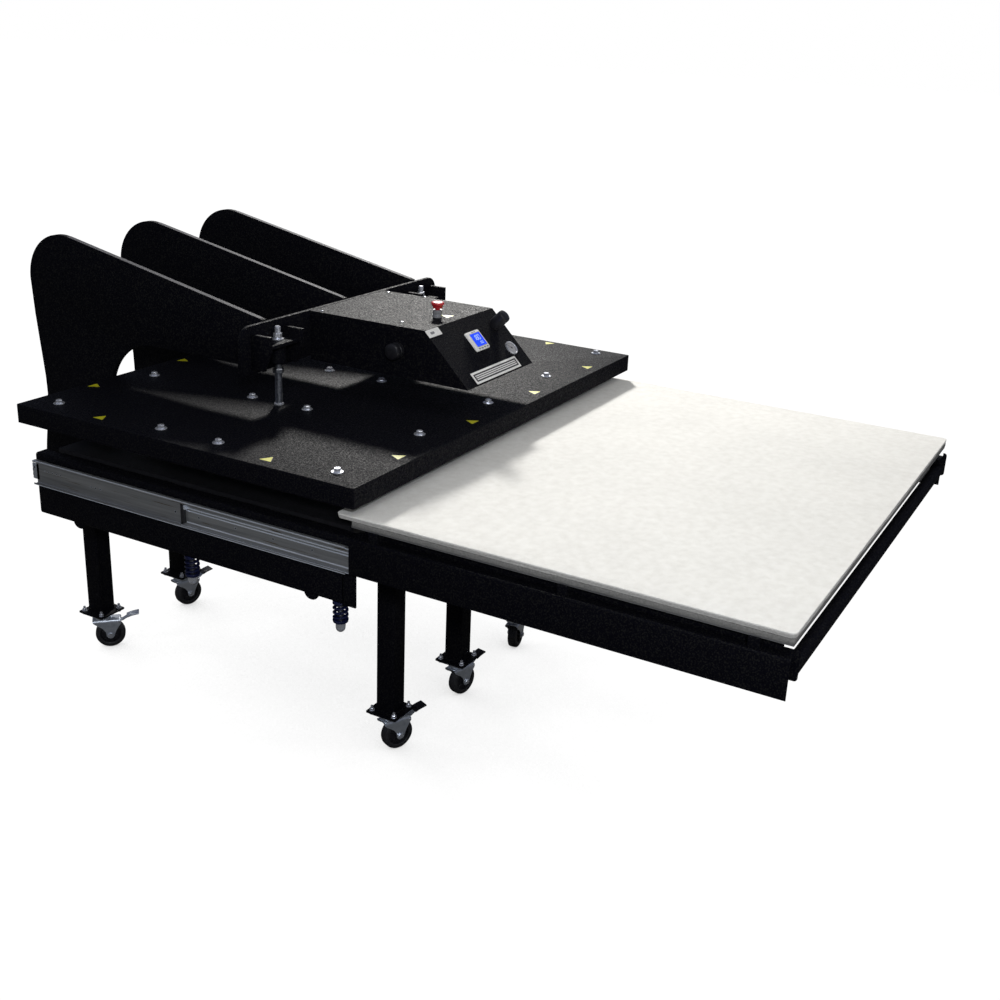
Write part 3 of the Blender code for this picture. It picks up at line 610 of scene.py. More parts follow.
def make_hanger_rod(label):
    low, high = box(f"hanger_rod_{label}")
    x = (low.x + high.x) / 2
    at = (x, 0, 0)
    foot = [(0, low.z), (0.0145, low.z), (0.0145, low.z + 0.004), (0.0125, low.z + 0.0056), (0, low.z + 0.0056)]
    washer = [(0.009, 1.2433), (0.0185, 1.2433), (0.0185, 1.2459), (0.0178, 1.2465), (0.009, 1.2465)]
    piece(f"hanger_stud_{label}", "frame", "bright_steel",
          (turned(foot, 40, at=at), "steel"),
          (threaded(0.0107, low.z + 0.004, 1.2445, at), "thread"),
          (hexagon(0.0290, 1.1402, 1.1560, at=at, phase=0.35), "thread"),
          (turned(washer, 40, at=at), "steel"),
          (hexagon(0.0225, 1.2466, 1.2622, at=at, phase=0.2), "steel"),
          (threaded(0.0085, 1.2560, high.z - 0.0015, at, 0.0018), "steel"),
          (turned([(0, 0), (0.0076, 0), (0.0058, 0.0015), (0, 0.0015)], 24, at=(x, 0, high.z - 0.0016)), "steel"),
          replaces=[f"hanger_rod_{label}"])


# ---- platen --------------------------------------------------------------------------------
BOLT_PITCH, BOLT_START = 0.386, 0.010
BOLT_ROWS = (-0.496, -0.098, 0.110, 0.510)


def triangle_label(x, y, z, heading):
    """A plain yellow triangle with a thin dark rim, lying on a level face."""
    side = 0.041
    centre_to_corner = side / math.sqrt(3)

    def outline(scale):
        made = []
        for k in range(3):
            corner = math.radians(heading + 120 * k)
            tip = Vector((math.cos(corner), math.sin(corner))) * (centre_to_corner - 0.003) * scale
            made += [tuple(tip + Vector((math.cos(corner + t), math.sin(corner + t))) * 0.0015 * scale)
                     for t in (-1.0, -0.5, 0.0, 0.5, 1.0)]
        return [(x + a, y + b) for a, b in made]

    return [(prism(outline(1.0), "z", z, z + 0.0003), "ink"),
            (prism(outline(0.93), "z", z + 0.0001, z + 0.0005), "yellow")]


def make_platen():
    low, high = box("platen_cover")
    wall = 0.0025
    rims = [rounded((low.x + t, low.y + t), (high.x - t, high.y - t), 0.004 - t / 2) for t in (0, wall)]
    round_edge = 0.0022
    rings = [placed(rims[0], "z", low.z), placed(rims[0], "z", high.z - round_edge)]
    for k in (1, 2, 3):
        turn = math.pi / 2 * k / 3
        inset = round_edge * (1 - math.cos(turn))
        ring = rounded((low.x + inset, low.y + inset), (high.x - inset, high.y - inset), 0.004 - inset / 2)
        rings.append(placed(ring, "z", high.z - round_edge + round_edge * math.sin(turn)))
    shell = skin([placed(rims[1], "z", high.z - wall), placed(rims[1], "z", low.z), *rings])
    piece("platen_shell", "frame", "powder_coat", (shell, "powder"), replaces=["platen_cover"])
    bolts = []
    for column in range(-2, 3):
        for row, y in enumerate(BOLT_ROWS):
            x = BOLT_START + BOLT_PITCH * column
            bolts += bolt_head((x, y, high.z), 0.0175, 0.0095, 0.0165, 0.7 * column + 1.1 * row)
    piece("platen_bolts", "frame", "bright_steel", *bolts)
    labels = []
    for column in (-1.5, -0.5, 0.5, 1.5):
        x = BOLT_START - 0.002 + BOLT_PITCH * column
        labels += triangle_label(x, low.y + 0.046, high.z, 90)
        labels += triangle_label(x, high.y - 0.034, high.z, -90)
    for y in (-0.291, 0.314):
        labels += triangle_label(low.x + 0.048, y, high.z, 0)
        labels += triangle_label(high.x - 0.031, y, high.z, 180)
    piece("platen_labels", "frame", "white_plastic", *labels)


# ---- air springs and die springs -----------------------------------------------------------
def make_air_spring(column):
    node = f"air_spring_{column}"
    low, high = box(node)
    at = upright(node)
    z, top, radius = low.z, high.z, high.x - at[0]
    plate, centre = 0.005, (low.z + high.z) / 2
    quarter = (top - z - 2 * plate) / 4
    lobes = [z + plate + quarter, top - plate - quarter]
    profile = [(0.020, z + 0.001), (0.050, z + 0.0012)]
    bulge, fullness = 0.018, 0.98
    for lobe in lobes:
        profile += [(radius - bulge + bulge * math.cos(a), lobe + quarter * fullness * math.sin(a))
                    for a in (math.radians(degrees) for degrees in range(-80, 81, 10))]
    profile += [(0.050, top - 0.0012), (0.020, top - 0.001)]
    rings = [[(0.024, z), (0.054, z), (0.055, z + 0.001), (0.053, z + plate), (0.024, z + plate)],
             [(0.024, top - plate), (0.053, top - plate), (0.055, top - 0.001), (0.054, top), (0.024, top)]]
    waist = radius - 0.0155
    hoop = [(waist + 0.0028 * math.cos(math.radians(a)), centre + 0.0028 * math.sin(math.radians(a)))
            for a in range(0, 360, 30)]
    made = piece(f"air_bellows_{column}", "frame", "black_rubber", (turned(profile, 64, at=at), "rubber"),
                 *[(turned(ring, 64, at=at), "aluminium") for ring in rings], (turned(hoop, 64, at=at), "steel"),
                 replaces=[node], ride=False)
    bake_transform(made)


def coil(at, low, high, outer, inner, wire, turns):
    """A die spring: rectangular wire on a helix whose end turns lie flat."""
    steps = 32
    middle_radius, half_width, half_height = (outer + inner) / 2, (outer - inner) / 2, wire / 2
    section = rounded((-half_width, -half_height), (half_width, half_height), 0.0012, 2)
    closed = 0.75
    rise = high - low - wire
    rings = []
    for k in range(int(turns * steps) + 1):
        turn = k / steps
        share = min(max((turn - closed) / (turns - 2 * closed), 0), 1)
        centre_z = low + half_height + rise * share
        angle = math.tau * turn
        rings.append([(at[0] + (middle_radius + a) * math.cos(angle), at[1] + (middle_radius + a) * math.sin(angle),
                       centre_z + b) for a, b in section])
    return skin(rings)


def make_die_spring(place):
    node, bolt = f"return_spring_{place}", f"spring_bolt_{place}"
    low, high = box(node)
    at = upright(node)
    outer, inner, wire, turns = high.x - at[0], 0.0125, 0.0042, 5.6
    spring = coil(at, low.z + 0.0005, high.z - 0.0003, outer, inner, wire, turns)
    made = piece(f"die_spring_{place}", "frame", "navy_spring", (spring, "navy"), replaces=[node], ride=False)
    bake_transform(made)
    low, high = box(bolt)
    seat = box(node)[0].z - 0.0003
    washer = [(0.008, seat - 0.003), (0.0197, seat - 0.003), (0.0205, seat - 0.0022), (0.0205, seat), (0.008, seat)]
    dome = [(0.0130 * math.sin(math.radians(a)), low.z + 0.0130 * (1 - math.cos(math.radians(a))))
            for a in range(15, 91, 15)]
    acorn = [(0, low.z), *dome, (0.0130, seat - 0.020), (0, seat - 0.020)]
    piece(f"spring_stud_{place}", "lift", "bright_steel",
          (turned(acorn, 40, at=at), "steel"),
          (hexagon(0.0250, seat - 0.0215, seat - 0.003, at=at, phase=0.5), "steel"),
          (turned(washer, 40, at=at), "navy"),
          (threaded(0.0080, seat - 0.002, high.z - 0.009, at), "thread"),
          (hexagon(0.0205, high.z - 0.010, high.z, at=at, phase=0.2), "steel"), replaces=[bolt])


# ---- slides --------------------------------------------------------------------------------
def make_rail_carrier(label, side):
    node = f"rail_carrier_{label}"
    low, high = box(node)
    face, inner = (high.x, low.x) if side > 0 else (-low.x, -high.x)
    gauge = 0.005
    half = gauge / 2
    section = strip([(inner, low.z + half), (face - half, low.z + half), (face - half, high.z - half),
                     (inner, high.z - half)], gauge, 0.006)
    piece(f"rail_channel_{label}", "lift", "powder_coat",
          (soften(prism(mirrored(section, side), "y", low.y, high.y), 0.0007, above=50), "powder"), replaces=[node])


def rail_path(web, lip, low, high, hook):
    """A C-section's middle line in (distance off the carrier, height): web, two lips and their hooked edges."""
    return [(lip, low + hook), (lip, low), (web + 0.002, low), (web, low + 0.002), (web, high - 0.002),
            (web + 0.002, high), (lip, high), (lip, high - hook)]


def make_rail(name, node, body, side, web, lip, hook, gauge, features=(), rear=None):
    """A rolled slide member, with its lips in a bright finish, a painted highlight, and the holes and beads given as
    (y, z) features; each hole is a dark disc, painted shade, in a bright rim, painted highlight.
    """
    low, high = box(node)
    high.y = rear or high.y
    half = gauge / 2
    path = rail_path(web, lip, low.z + half, high.z - half, hook)
    face = box("rail_carrier_right")[1].x
    section = [(side * (face + t), z) for t, z in strip(path, gauge, 0.0022, 3)]
    shapes = [(prism(section, "y", low.y, high.y), "rail")]
    for z in (low.z + half, high.z - half):
        start, end = sorted((side * (face + lip - 0.0030), side * (face + lip + half + 0.0002)))
        outline = rounded((start, z - half - 0.0001), (end, z + half + 0.0001), 0.0006, 3)
        shapes.append((prism(outline, "y", low.y, high.y), "lip"))
    for y, z, radius in features:
        at = (side * (face + web + (half + 0.0001)), y, z)
        rim = [(radius, 0), (radius + 0.0008, 0), (radius + 0.0006, 0.0005), (radius, 0.0005)]
        shapes.append((rod(radius, 0, 0.0003, 20, "x", at), "hole"))
        shapes.append((turned(rim, 20, "x", at), "lip"))
    return piece(name, body, "zinc_plate", *shapes, replaces=[node])


def make_slides(label, side):
    outer, centre = box(f"slide_outer_{label}"), box(f"slide_middle_{label}")
    face = box("rail_carrier_right")[1].x
    z_mid = middle(f"slide_outer_{label}").z
    rear = outer[1].y - 0.017
    holes = [(rear - 0.035 - 0.016 * k, z_mid + 0.006, 0.0022) for k in range(5)]
    holes += [(rear - 0.225 - 0.018 * k, z_mid - 0.002, 0.0026) for k in range(3)]
    holes += [(centre[1].y + 0.030, z_mid - 0.004, 0.0032)]
    web, lip, hook, gauge = 0.0013, 0.0152, 0.004, 0.0020
    make_rail(f"outer_rail_{label}", f"slide_outer_{label}", "lift", side, web, lip, hook, gauge, holes, rear)
    web_x = side * (face + web)
    tab = prism(rounded((rear - 0.010, z_mid - 0.026), (outer[1].y, z_mid + 0.024), 0.003), "x", web_x - 0.001,
                web_x + 0.001)
    # The tab's hole and notches are dark marks in the hole finish: painted shade.
    hole = rod(0.003, 0, 0.0003, 16, "x", (web_x + side * 0.0010, outer[1].y - 0.008, z_mid + 0.010))
    cut = (outer[1].y - 0.0035, outer[1].y)
    notches = [side_block(side, face + 0.0013, face + 0.0026, cut, (z - 0.003, z + 0.003))
               for z in (z_mid - 0.012, z_mid + 0.002)]
    piece(f"outer_rail_tab_{label}", "lift", "zinc_plate", (soften(tab, 0.0004, above=60), "zinc"), (hole, "hole"),
          *[(notch, "hole") for notch in notches])
    slots = [(centre[1].y - 0.060 - 0.13 * k, z_mid - 0.001, 0.0028) for k in range(8)]
    web, lip, hook, gauge = 0.0048, 0.0132, 0.0, 0.0018
    make_rail(f"middle_rail_{label}", f"slide_middle_{label}", f"slide_{label}", side, web, lip, hook, gauge, slots)
    front, rear_end, bottom, top = centre[0].y, centre[1].y, centre[0].z, centre[1].z
    bars = []
    # Three ridges along the middle member in the bright lip finish: painted highlight.
    ridge = sorted((side * (face + 0.0058), side * (face + 0.0074)))
    for z in (bottom + 0.0115, z_mid + 0.0115, top - 0.0150):
        outline = rounded((ridge[0], z - 0.0018), (ridge[1], z + 0.0018), 0.0007, 3)
        bars.append((prism(outline, "y", front + 0.004, rear_end - 0.016), "lip"))
    ball_pitch = 0.024
    for z in (bottom + 0.0030, top - 0.0030):
        cage = side_block(side, face + 0.0090, face + 0.0100, (front + 0.02, rear_end - 0.02),
                          (z - 0.0009, z + 0.0009))
        bars.append((cage, "rail"))
        for k in range(int((rear_end - front - 0.06) / ball_pitch)):
            ball_y = rear_end - 0.03 - ball_pitch * k
            bars.append((ball((side * (face + 0.0102), ball_y, z), 0.0010), "steel"))
    piece(f"ball_retainer_{label}", f"slide_{label}", "zinc_plate", *bars)
    stop_x = sorted((side * (face + 0.0060), side * (face + 0.0150)))
    stop = block((stop_x[0], rear_end - 0.014, z_mid - 0.026), (stop_x[1], rear_end - 0.001, z_mid + 0.026))
    bracket = block((stop_x[0], rear_end - 0.020, z_mid + 0.016),
                    (stop_x[1] + 0.0004, rear_end - 0.012, z_mid + 0.028))
    piece(f"slide_bumper_{label}", f"slide_{label}", "black_rubber", (soften(stop, 0.003, 3), "rubber"),
          (soften(bracket, 0.001), "lip"))


def ball(at, radius):
    form = bmesh.new()
    bmesh.ops.create_icosphere(form, subdivisions=2, radius=radius)
    return shifted(form, *at)


# ---- table ---------------------------------------------------------------------------------
def make_table_frame():
    low, high = box("table_frame")
    flange, gauge, bar = 0.054, 0.003, 0.028
    panel_top = high.z - bar
    half = gauge / 2
    angle = strip([(high.x - flange, panel_top - half), (high.x - half, panel_top - half), (high.x - half, low.z)],
                  gauge, 0.005)
    shapes = [(soften(prism(mirrored(angle, side), "y", low.y, high.y), 0.0006, above=50), "powder")
              for side in (-1, 1)]
    for y in (-1.645, -1.18, -0.645):
        cross_bar = prism(rounded((y - bar / 2, panel_top - 0.0005), (y + bar / 2, high.z), 0.003), "x",
                          low.x + 0.004, high.x - 0.004)
        shapes.append((soften(cross_bar, 0.0006, above=60), "powder"))
        for side in (-1, 1):
            seam = [(side * x, y - bar / 2, panel_top) for x in (high.x - flange, high.x - 0.006)]
            shapes.append((bead(seam, 0.002), "powder"))
    for side in (-1, 1):
        long_bar = side_block(side, 0.766, 0.786, (-1.700, -0.600), (panel_top - 0.001, high.z - 0.0005))
        shapes.append((soften(long_bar, 0.0010), "powder"))
    screws = []
    for side in (-1, 1):
        for y in (-0.640, -0.773, -1.172, -1.430, -1.704):
            screws += screw_head((side * high.x, y, 0.833), "x", side, 0.0048, 0.0016, "powder")
    piece("table_frame_weldment", "table", "powder_coat", *shapes, replaces=["table_frame"])
    piece("table_side_screws", "table", "powder_coat", *screws)


def ply(low, high, front, rear, half_x, corner, roll, wander, seed):
    """A felt or sponge sheet with rolled edges and a slightly uneven outline."""
    rings = []
    height = high - low
    levels = [(roll, 0), (0.3 * roll, 0.3 * roll), (0, roll), (0, height - roll), (0.3 * roll, height - 0.3 * roll),
              (roll, height)]

    def edge(inset):
        corners = rounded((-half_x + inset, front + inset), (half_x - inset, rear - inset), corner, 5)
        dense = []
        for a, b in zip(corners, corners[1:] + corners[:1]):
            a, b = Vector(a), Vector(b)
            parts = max(1, int((b - a).length / 0.02))
            dense += [a.lerp(b, k / parts) for k in range(parts)]
        return dense

    outline = edge(0)
    centre = Vector((0, (front + rear) / 2))

    def ripple(p, scale):
        return noise.noise(Vector((p.x * scale, p.y * scale, seed)))

    pull = [wander * (ripple(p, 5) + 0.6 * ripple(p, 31) - 1.0) for p in outline]
    for inset, rise in levels:
        ring = []
        for p, shift in zip(outline, pull):
            away = Vector((math.copysign(1, p.x - centre.x) if half_x - abs(p.x) < corner * 0.7 else 0,
                           math.copysign(1, p.y - centre.y) if min(rear - p.y, p.y - front) < corner * 0.7 else 0))
            moved_point = p + away * (shift - inset)
            ring.append((moved_point.x, moved_point.y, low + rise))
        rings.append(ring)
    return skin(rings)


def make_table_top():
    low, high = box("felt_pad")
    layers = 3
    step = (high.z - low.z) / layers
    plies = []
    for k in range(layers):
        # The lower plies get the grey copy of the felt: painted shade on the pad's side, below the white top ply.
        kind = "felt" if k == layers - 1 else "painted_shade_felt"
        plies.append((ply(low.z + step * k, low.z + step * (k + 1), low.y, high.y, high.x, 0.014, 0.0014,
                          0.0007 + 0.0005 * (layers - 1 - k), 3.1 + k), kind))
    felt = piece("felt_top", "table", "white_felt", *plies, replaces=["felt_pad"])
    low, high = box("silicone_pad")
    sponge = piece("sponge_sheet", "table", "grey_silicone",
                   (ply(low.z, high.z, low.y, high.y, high.x, 0.006, 0.0012, 0.0006, 9.4), "silicone"),
                   replaces=["silicone_pad"])
    keep_node("table_plate", "aluminium", 0.0008)


def make_pull_tube():
    low, high = box("pull_tube")
    y, z, radius = -1.724, 0.8566, 0.019
    ear = 0.004
    outline = [(high.y, low.z), *arc((low.y + 0.008, low.z + 0.008), 0.008, 270, 180, 5),
               *arc((low.y + 0.008, high.z - 0.008), 0.008, 180, 90, 5), (-1.7335, high.z), (-1.7335, 0.8935),
               (high.y, 0.8935)]
    shapes = [(tube(radius - 0.003, radius, low.x + 0.002, high.x - 0.002, 48, "x", (0, y, z)), "powder")]
    for start in (low.x, high.x - ear):
        shapes.append((soften(prism(outline, "x", start, start + ear), 0.0007), "powder"))
    for x in (low.x + ear, high.x - ear):
        shapes.append((bead(ring_across_x(x, y, z, radius), 0.0024), "powder"))
    piece("pull_handle", "table", "powder_coat", *shapes, replaces=["pull_tube"])


# ---- controls ------------------------------------------------------------------------------
BOX_TOP = box("control_cover")[1].z
SHOULDER = -0.391
SLOPE = math.radians(45)


def on_slope(x, down, out=0.0):
    """The place of a piece drawn flat, with +Y up the sloping face and +Z out of it."""
    c, s = math.cos(SLOPE), math.sin(SLOPE)
    point = (x, SHOULDER - down * c - out * s, BOX_TOP - down * s + out * c)
    return Matrix.Translation(point) @ Matrix.Rotation(SLOPE, 4, "X")


def make_box_details():
    keep_node("control_cover", "powder", 0.0018)
    keep_node("control_tray", "zinc", 0.0006)
    screws = []
    for x, y in ((-0.181, -0.007), (-0.147, -0.278), (0.181, -0.003)):
        screws += screw_head((x, y, BOX_TOP), radius=0.0048)
    for side in (-1, 1):
        for y, z in ((-0.020, 1.160), (-0.020, 1.270), (-0.380, 1.155)):
            screws += screw_head((side * 0.198, y, z), "x", side, 0.0045, 0.0022, "powder")
    piece("box_screws", "frame", "bright_steel", *screws)
    piece("box_label", "frame", "white_plastic", *triangle_label(0.006, -0.344, BOX_TOP, 90))
    plate = prism(rounded((-0.134, -0.0195), (0.134, 0.0195), 0.0015), "z", 0.0001, 0.0012)
    field = prism(rounded((-0.126, -0.0125), (0.126, 0.0125), 0.001), "z", 0.0009, 0.0014)
    bars = [(prism(rounded((-0.120, y - 0.0017), (0.120, y + 0.0017), 0.0008), "z", 0.0012, 0.0016), "white")
            for y in (-0.0062, 0.0, 0.0062)]
    piece("blank_name_plate", "frame", "white_plastic", (soften(plate, 0.0004), "white"), (field, "ink"), *bars,
          at=on_slope(-0.003, 0.1935))
    sticker = prism(rounded((-0.035, -0.013), (0.035, 0.013), 0.003), "z", 0.0001, 0.0004)
    mark = prism(rounded((-0.017, -0.004), (0.003, 0.004), 0.002), "z", 0.0003, 0.0006)
    piece("blank_sticker", "frame", "white_plastic", (sticker, "white"), (mark, "grey"), at=on_slope(-0.163, 0.0145))


SEGMENTS = {"top": (0, 1, 1, 0), "middle": (0, 0, 1, 0), "bottom": (0, -1, 1, 0), "upper_left": (-1, 0.5, 0, 1),
            "upper_right": (1, 0.5, 0, 1), "lower_left": (-1, -0.5, 0, 1), "lower_right": (1, -0.5, 0, 1)}
DIGITS = {"0": set(SEGMENTS) - {"middle"}, "1": {"upper_right", "lower_right"}, "8": set(SEGMENTS)}


def digit(symbol, x, y, height):
    """A seven-segment numeral."""
    half_h, half_w, stroke = height / 2, height * 0.24, height * 0.055
    shapes = []
    for name in sorted(DIGITS[symbol]):
        a, b, flat, upright = SEGMENTS[name]
        cx, cy = x + a * half_w, y + b * half_h
        reach = (half_w * 0.8 * flat + stroke * upright, half_h * 0.42 * upright + stroke * flat)
        numeral = block((cx - reach[0], cy - reach[1], 0.0056), (cx + reach[0], cy + reach[1], 0.0059))
        shapes.append((numeral, "digits"))
    return shapes


def make_temperature_controller():
    half_x, half_y, thick = 0.039, 0.034, 0.005
    rings = [placed(rounded((-half_x + t, -half_y + t), (half_x - t, half_y - t), 0.006 - t / 2), "z", z)
             for t, z in ((0, 0.0003), (0, thick - 0.002), (0.0006, thick - 0.0006), (0.002, thick))]
    frame_outline = rounded((-0.023, -0.0225), (0.034, 0.0255), 0.001)
    screen_outline = rounded((-0.021, -0.0205), (0.032, 0.0235), 0.0008)
    shapes = [(skin(rings), "white"),
              (prism(frame_outline, "z", thick - 0.0004, thick + 0.0003), "grey"),
              (prism(screen_outline, "z", thick, thick + 0.0005), "screen")]
    for symbol, x in zip("180", (-0.0085, 0.0035, 0.0155)):
        shapes += digit(symbol, x, 0.0085, 0.017)
    for symbol, x in zip("180", (0.004, 0.011, 0.018)):
        shapes += digit(symbol, x, -0.0105, 0.009)
    for k in range(4):
        x = -0.0195 + 0.0155 * k
        key = prism(rounded((x - 0.0048, -0.0310), (x + 0.0048, -0.0258), 0.0015), "z", thick - 0.0005,
                    thick + 0.0010)
        shapes.append((soften(key, 0.0004), "grey"))
    slot_outline = rounded((-0.006, 0.0278), (0.016, 0.0300), 0.0005)
    shapes.append((prism(slot_outline, "z", thick - 0.0002, thick + 0.0002), "grey"))
    piece("controller_unit", "frame", "white_plastic", *shapes, replaces=["temperature_controller"],
          at=on_slope(0.004, 0.085))


def make_pressure_gauge():
    radius, height, dial = 0.0235, 0.0065, 0.0034
    case = [(0, 0.0003), (radius, 0.0003), (radius, height - 0.0014), (0.0228, height), (0.0212, height),
            (0.0204, height - 0.0010), (0.0204, dial), (0, dial)]
    shapes = [(turned(case, 64), "steel"), (rod(0.0203, dial - 0.0002, dial + 0.0005, 64), "dial")]
    for k in range(28):
        angle = math.radians(225 - 10 * k)
        length = 0.0045 if k % 3 == 0 else 0.0026
        tick = block((0.0190 - length, -0.0005, dial + 0.0004), (0.0190, 0.0005, dial + 0.0008))
        shapes.append((moved(tick, Matrix.Rotation(angle, 4, "Z")), "ink"))
    needle = prism([(-0.005, -0.0012), (0.015, -0.0005), (0.015, 0.0005), (-0.005, 0.0012)], "z", dial + 0.0010,
                   dial + 0.0014)
    shapes.append((moved(needle, Matrix.Rotation(math.radians(132), 4, "Z")), "ink"))
    shapes.append((turned([(0, dial), (0.0028, dial), (0.0024, dial + 0.0020), (0, dial + 0.0022)], 24), "ink"))
    piece("gauge_unit", "frame", "bright_steel", *shapes, replaces=["pressure_gauge"], at=on_slope(0.143, 0.147))


def make_regulator_knob():
    """The pressure regulator's knob, with a grip of shallow flutes and a slightly domed end."""
    grip, length, flutes = 0.0207, 0.0575, 24
    profile = [(0, 0.0004), (grip - 0.0030, 0.0004), (grip - 0.0030, 0.0060), (grip, 0.0075), (grip, length - 0.0060),
               (grip - 0.0010, length - 0.0030), (grip - 0.0035, length - 0.0012), (0.008, length - 0.0002),
               (0, length)]
    form = turned(profile, flutes * 4)
    for vertex in form.verts:
        if vertex.co.xy.length > grip - 0.0005 and vertex.co.z > 0.007:
            swell = 1 + 0.012 * math.cos(flutes * math.atan2(vertex.co.y, vertex.co.x))
            vertex.co.xy *= swell / 1.012
    piece("regulator_grip", "regulator", "black_plastic", (form, "black"), replaces=["regulator_knob"],
          at=on_slope(0.14, 0.057))


def make_buttons():
    low, high = box("e_stop_button")
    at = upright("e_stop_button")
    radius = (high.x - low.x) / 2
    base, rim = BOX_TOP + 0.0003, BOX_TOP + 0.0235
    collar = [(0.0085, base), (0.0150, base), (0.0150, base + 0.004), (0.0138, base + 0.005), (0.0138, rim - 0.009),
              (0.0146, rim - 0.008), (0.0146, rim - 0.001), (0.0136, rim), (0.0085, rim)]
    piece("e_stop_collar", "frame", "black_plastic", (turned(collar, 48, at=at), "grey"),
          (tube(0.0138, 0.0148, base + 0.0052, base + 0.0085, 12, at=at), "steel"))
    under, top = rim + 0.0055, high.z
    cap = [(0, low.z), (0.0078, low.z), (0.0078, under), (0.0135, under), (0.0145, under + 0.001),
           (0.0155, under + 0.006), (0.0180, under + 0.0095), (radius - 0.0004, under + 0.0110),
           (radius, under + 0.0122), (radius, top - 0.0035), (radius - 0.0010, top - 0.0018),
           (radius - 0.0030, top - 0.0006), (0.010, top - 0.0001), (0, top)]
    piece("e_stop_mushroom", "e_stop", "red_plastic", (turned(cap, 64, at=at), "red"), replaces=["e_stop_button"])
    for label, side in SIDES:
        node = f"palm_button_{label}"
        low, high = box(node)
        centre = middle(node)
        wall, tip = 0.198, max(abs(low.x), abs(high.x))
        radius = (high.z - low.z) / 2
        sleeve = [(0.0095, wall), (radius - 0.0012, wall), (radius - 0.0004, wall + 0.001),
                  (radius - 0.0004, wall + 0.0145), (radius - 0.0014, wall + 0.0155), (0.0095, wall + 0.0155)]
        piece(f"palm_sleeve_{label}", "frame", "black_plastic",
              (turned([(r, side * h) for r, h in sleeve], 56, "x", (0, centre.y, centre.z)), "black"))
        start = min(abs(low.x), abs(high.x))
        cap = [(0, start), (0.0078, start), (0.0078, wall + 0.0205), (radius - 0.002, wall + 0.0205),
               (radius, wall + 0.0220), (radius, tip - 0.0065), (radius - 0.0022, tip - 0.0028),
               (radius - 0.0062, tip - 0.0008), (0.008, tip), (0, tip)]
        piece(f"palm_cap_{label}", f"palm_{label}", "black_plastic",
              (turned([(r, side * h) for r, h in cap], 56, "x", (0, centre.y, centre.z)), "black"), replaces=[node])


# ---- casters -------------------------------------------------------------------------------
HEADINGS = {"front_left": -24, "front_center": -12, "front_right": 10,
            "rear_left": -45, "rear_center": -17, "rear_right": -35}
AXLE = (0.024, 0, 0.0508)
PEDAL_PIN = (0.056, 0, 0.099)


def fork_shape():
    """The stamped crown and cheeks: a bent sheet, cut by its side outline with one Boolean."""
    gauge, half, crown = 0.0026, 0.0228, 0.1092
    bend = strip([(-half, 0.025), (-half, crown), (half, crown), (half, 0.025)], gauge, 0.010, 6)
    sheet = prism(bend, "x", -0.06, 0.08)
    side = [(-0.034, 0.114), (-0.034, 0.104), (-0.031, 0.098), (-0.022, 0.091), (-0.009, 0.083), (0.001, 0.074),
            (0.009, 0.062), *arc((AXLE[0], AXLE[2]), 0.0135, 190, 335, 12), (0.043, 0.064), (0.052, 0.080),
            (0.062, 0.094), (0.062, 0.104), (0.050, 0.114)]
    cutter = prism(side, "y", -0.05, 0.05)
    sources = [add_object(name, add_mesh(name, form)) for name, form in (("sheet", sheet), ("cutter", cutter))]
    boolean = sources[0].modifiers.new("outline", "BOOLEAN")
    boolean.operation, boolean.object = "INTERSECT", sources[1]
    bpy.context.view_layer.update()
    evaluated = sources[0].evaluated_get(bpy.context.evaluated_depsgraph_get())
    form = bmesh.new()
    form.from_mesh(evaluated.to_mesh())
    evaluated.to_mesh_clear()
    for made in sources:
        bpy.data.objects.remove(made, do_unlink=True)
    bmesh.ops.dissolve_limit(form, angle_limit=math.radians(1), verts=form.verts, edges=form.edges)
    return form


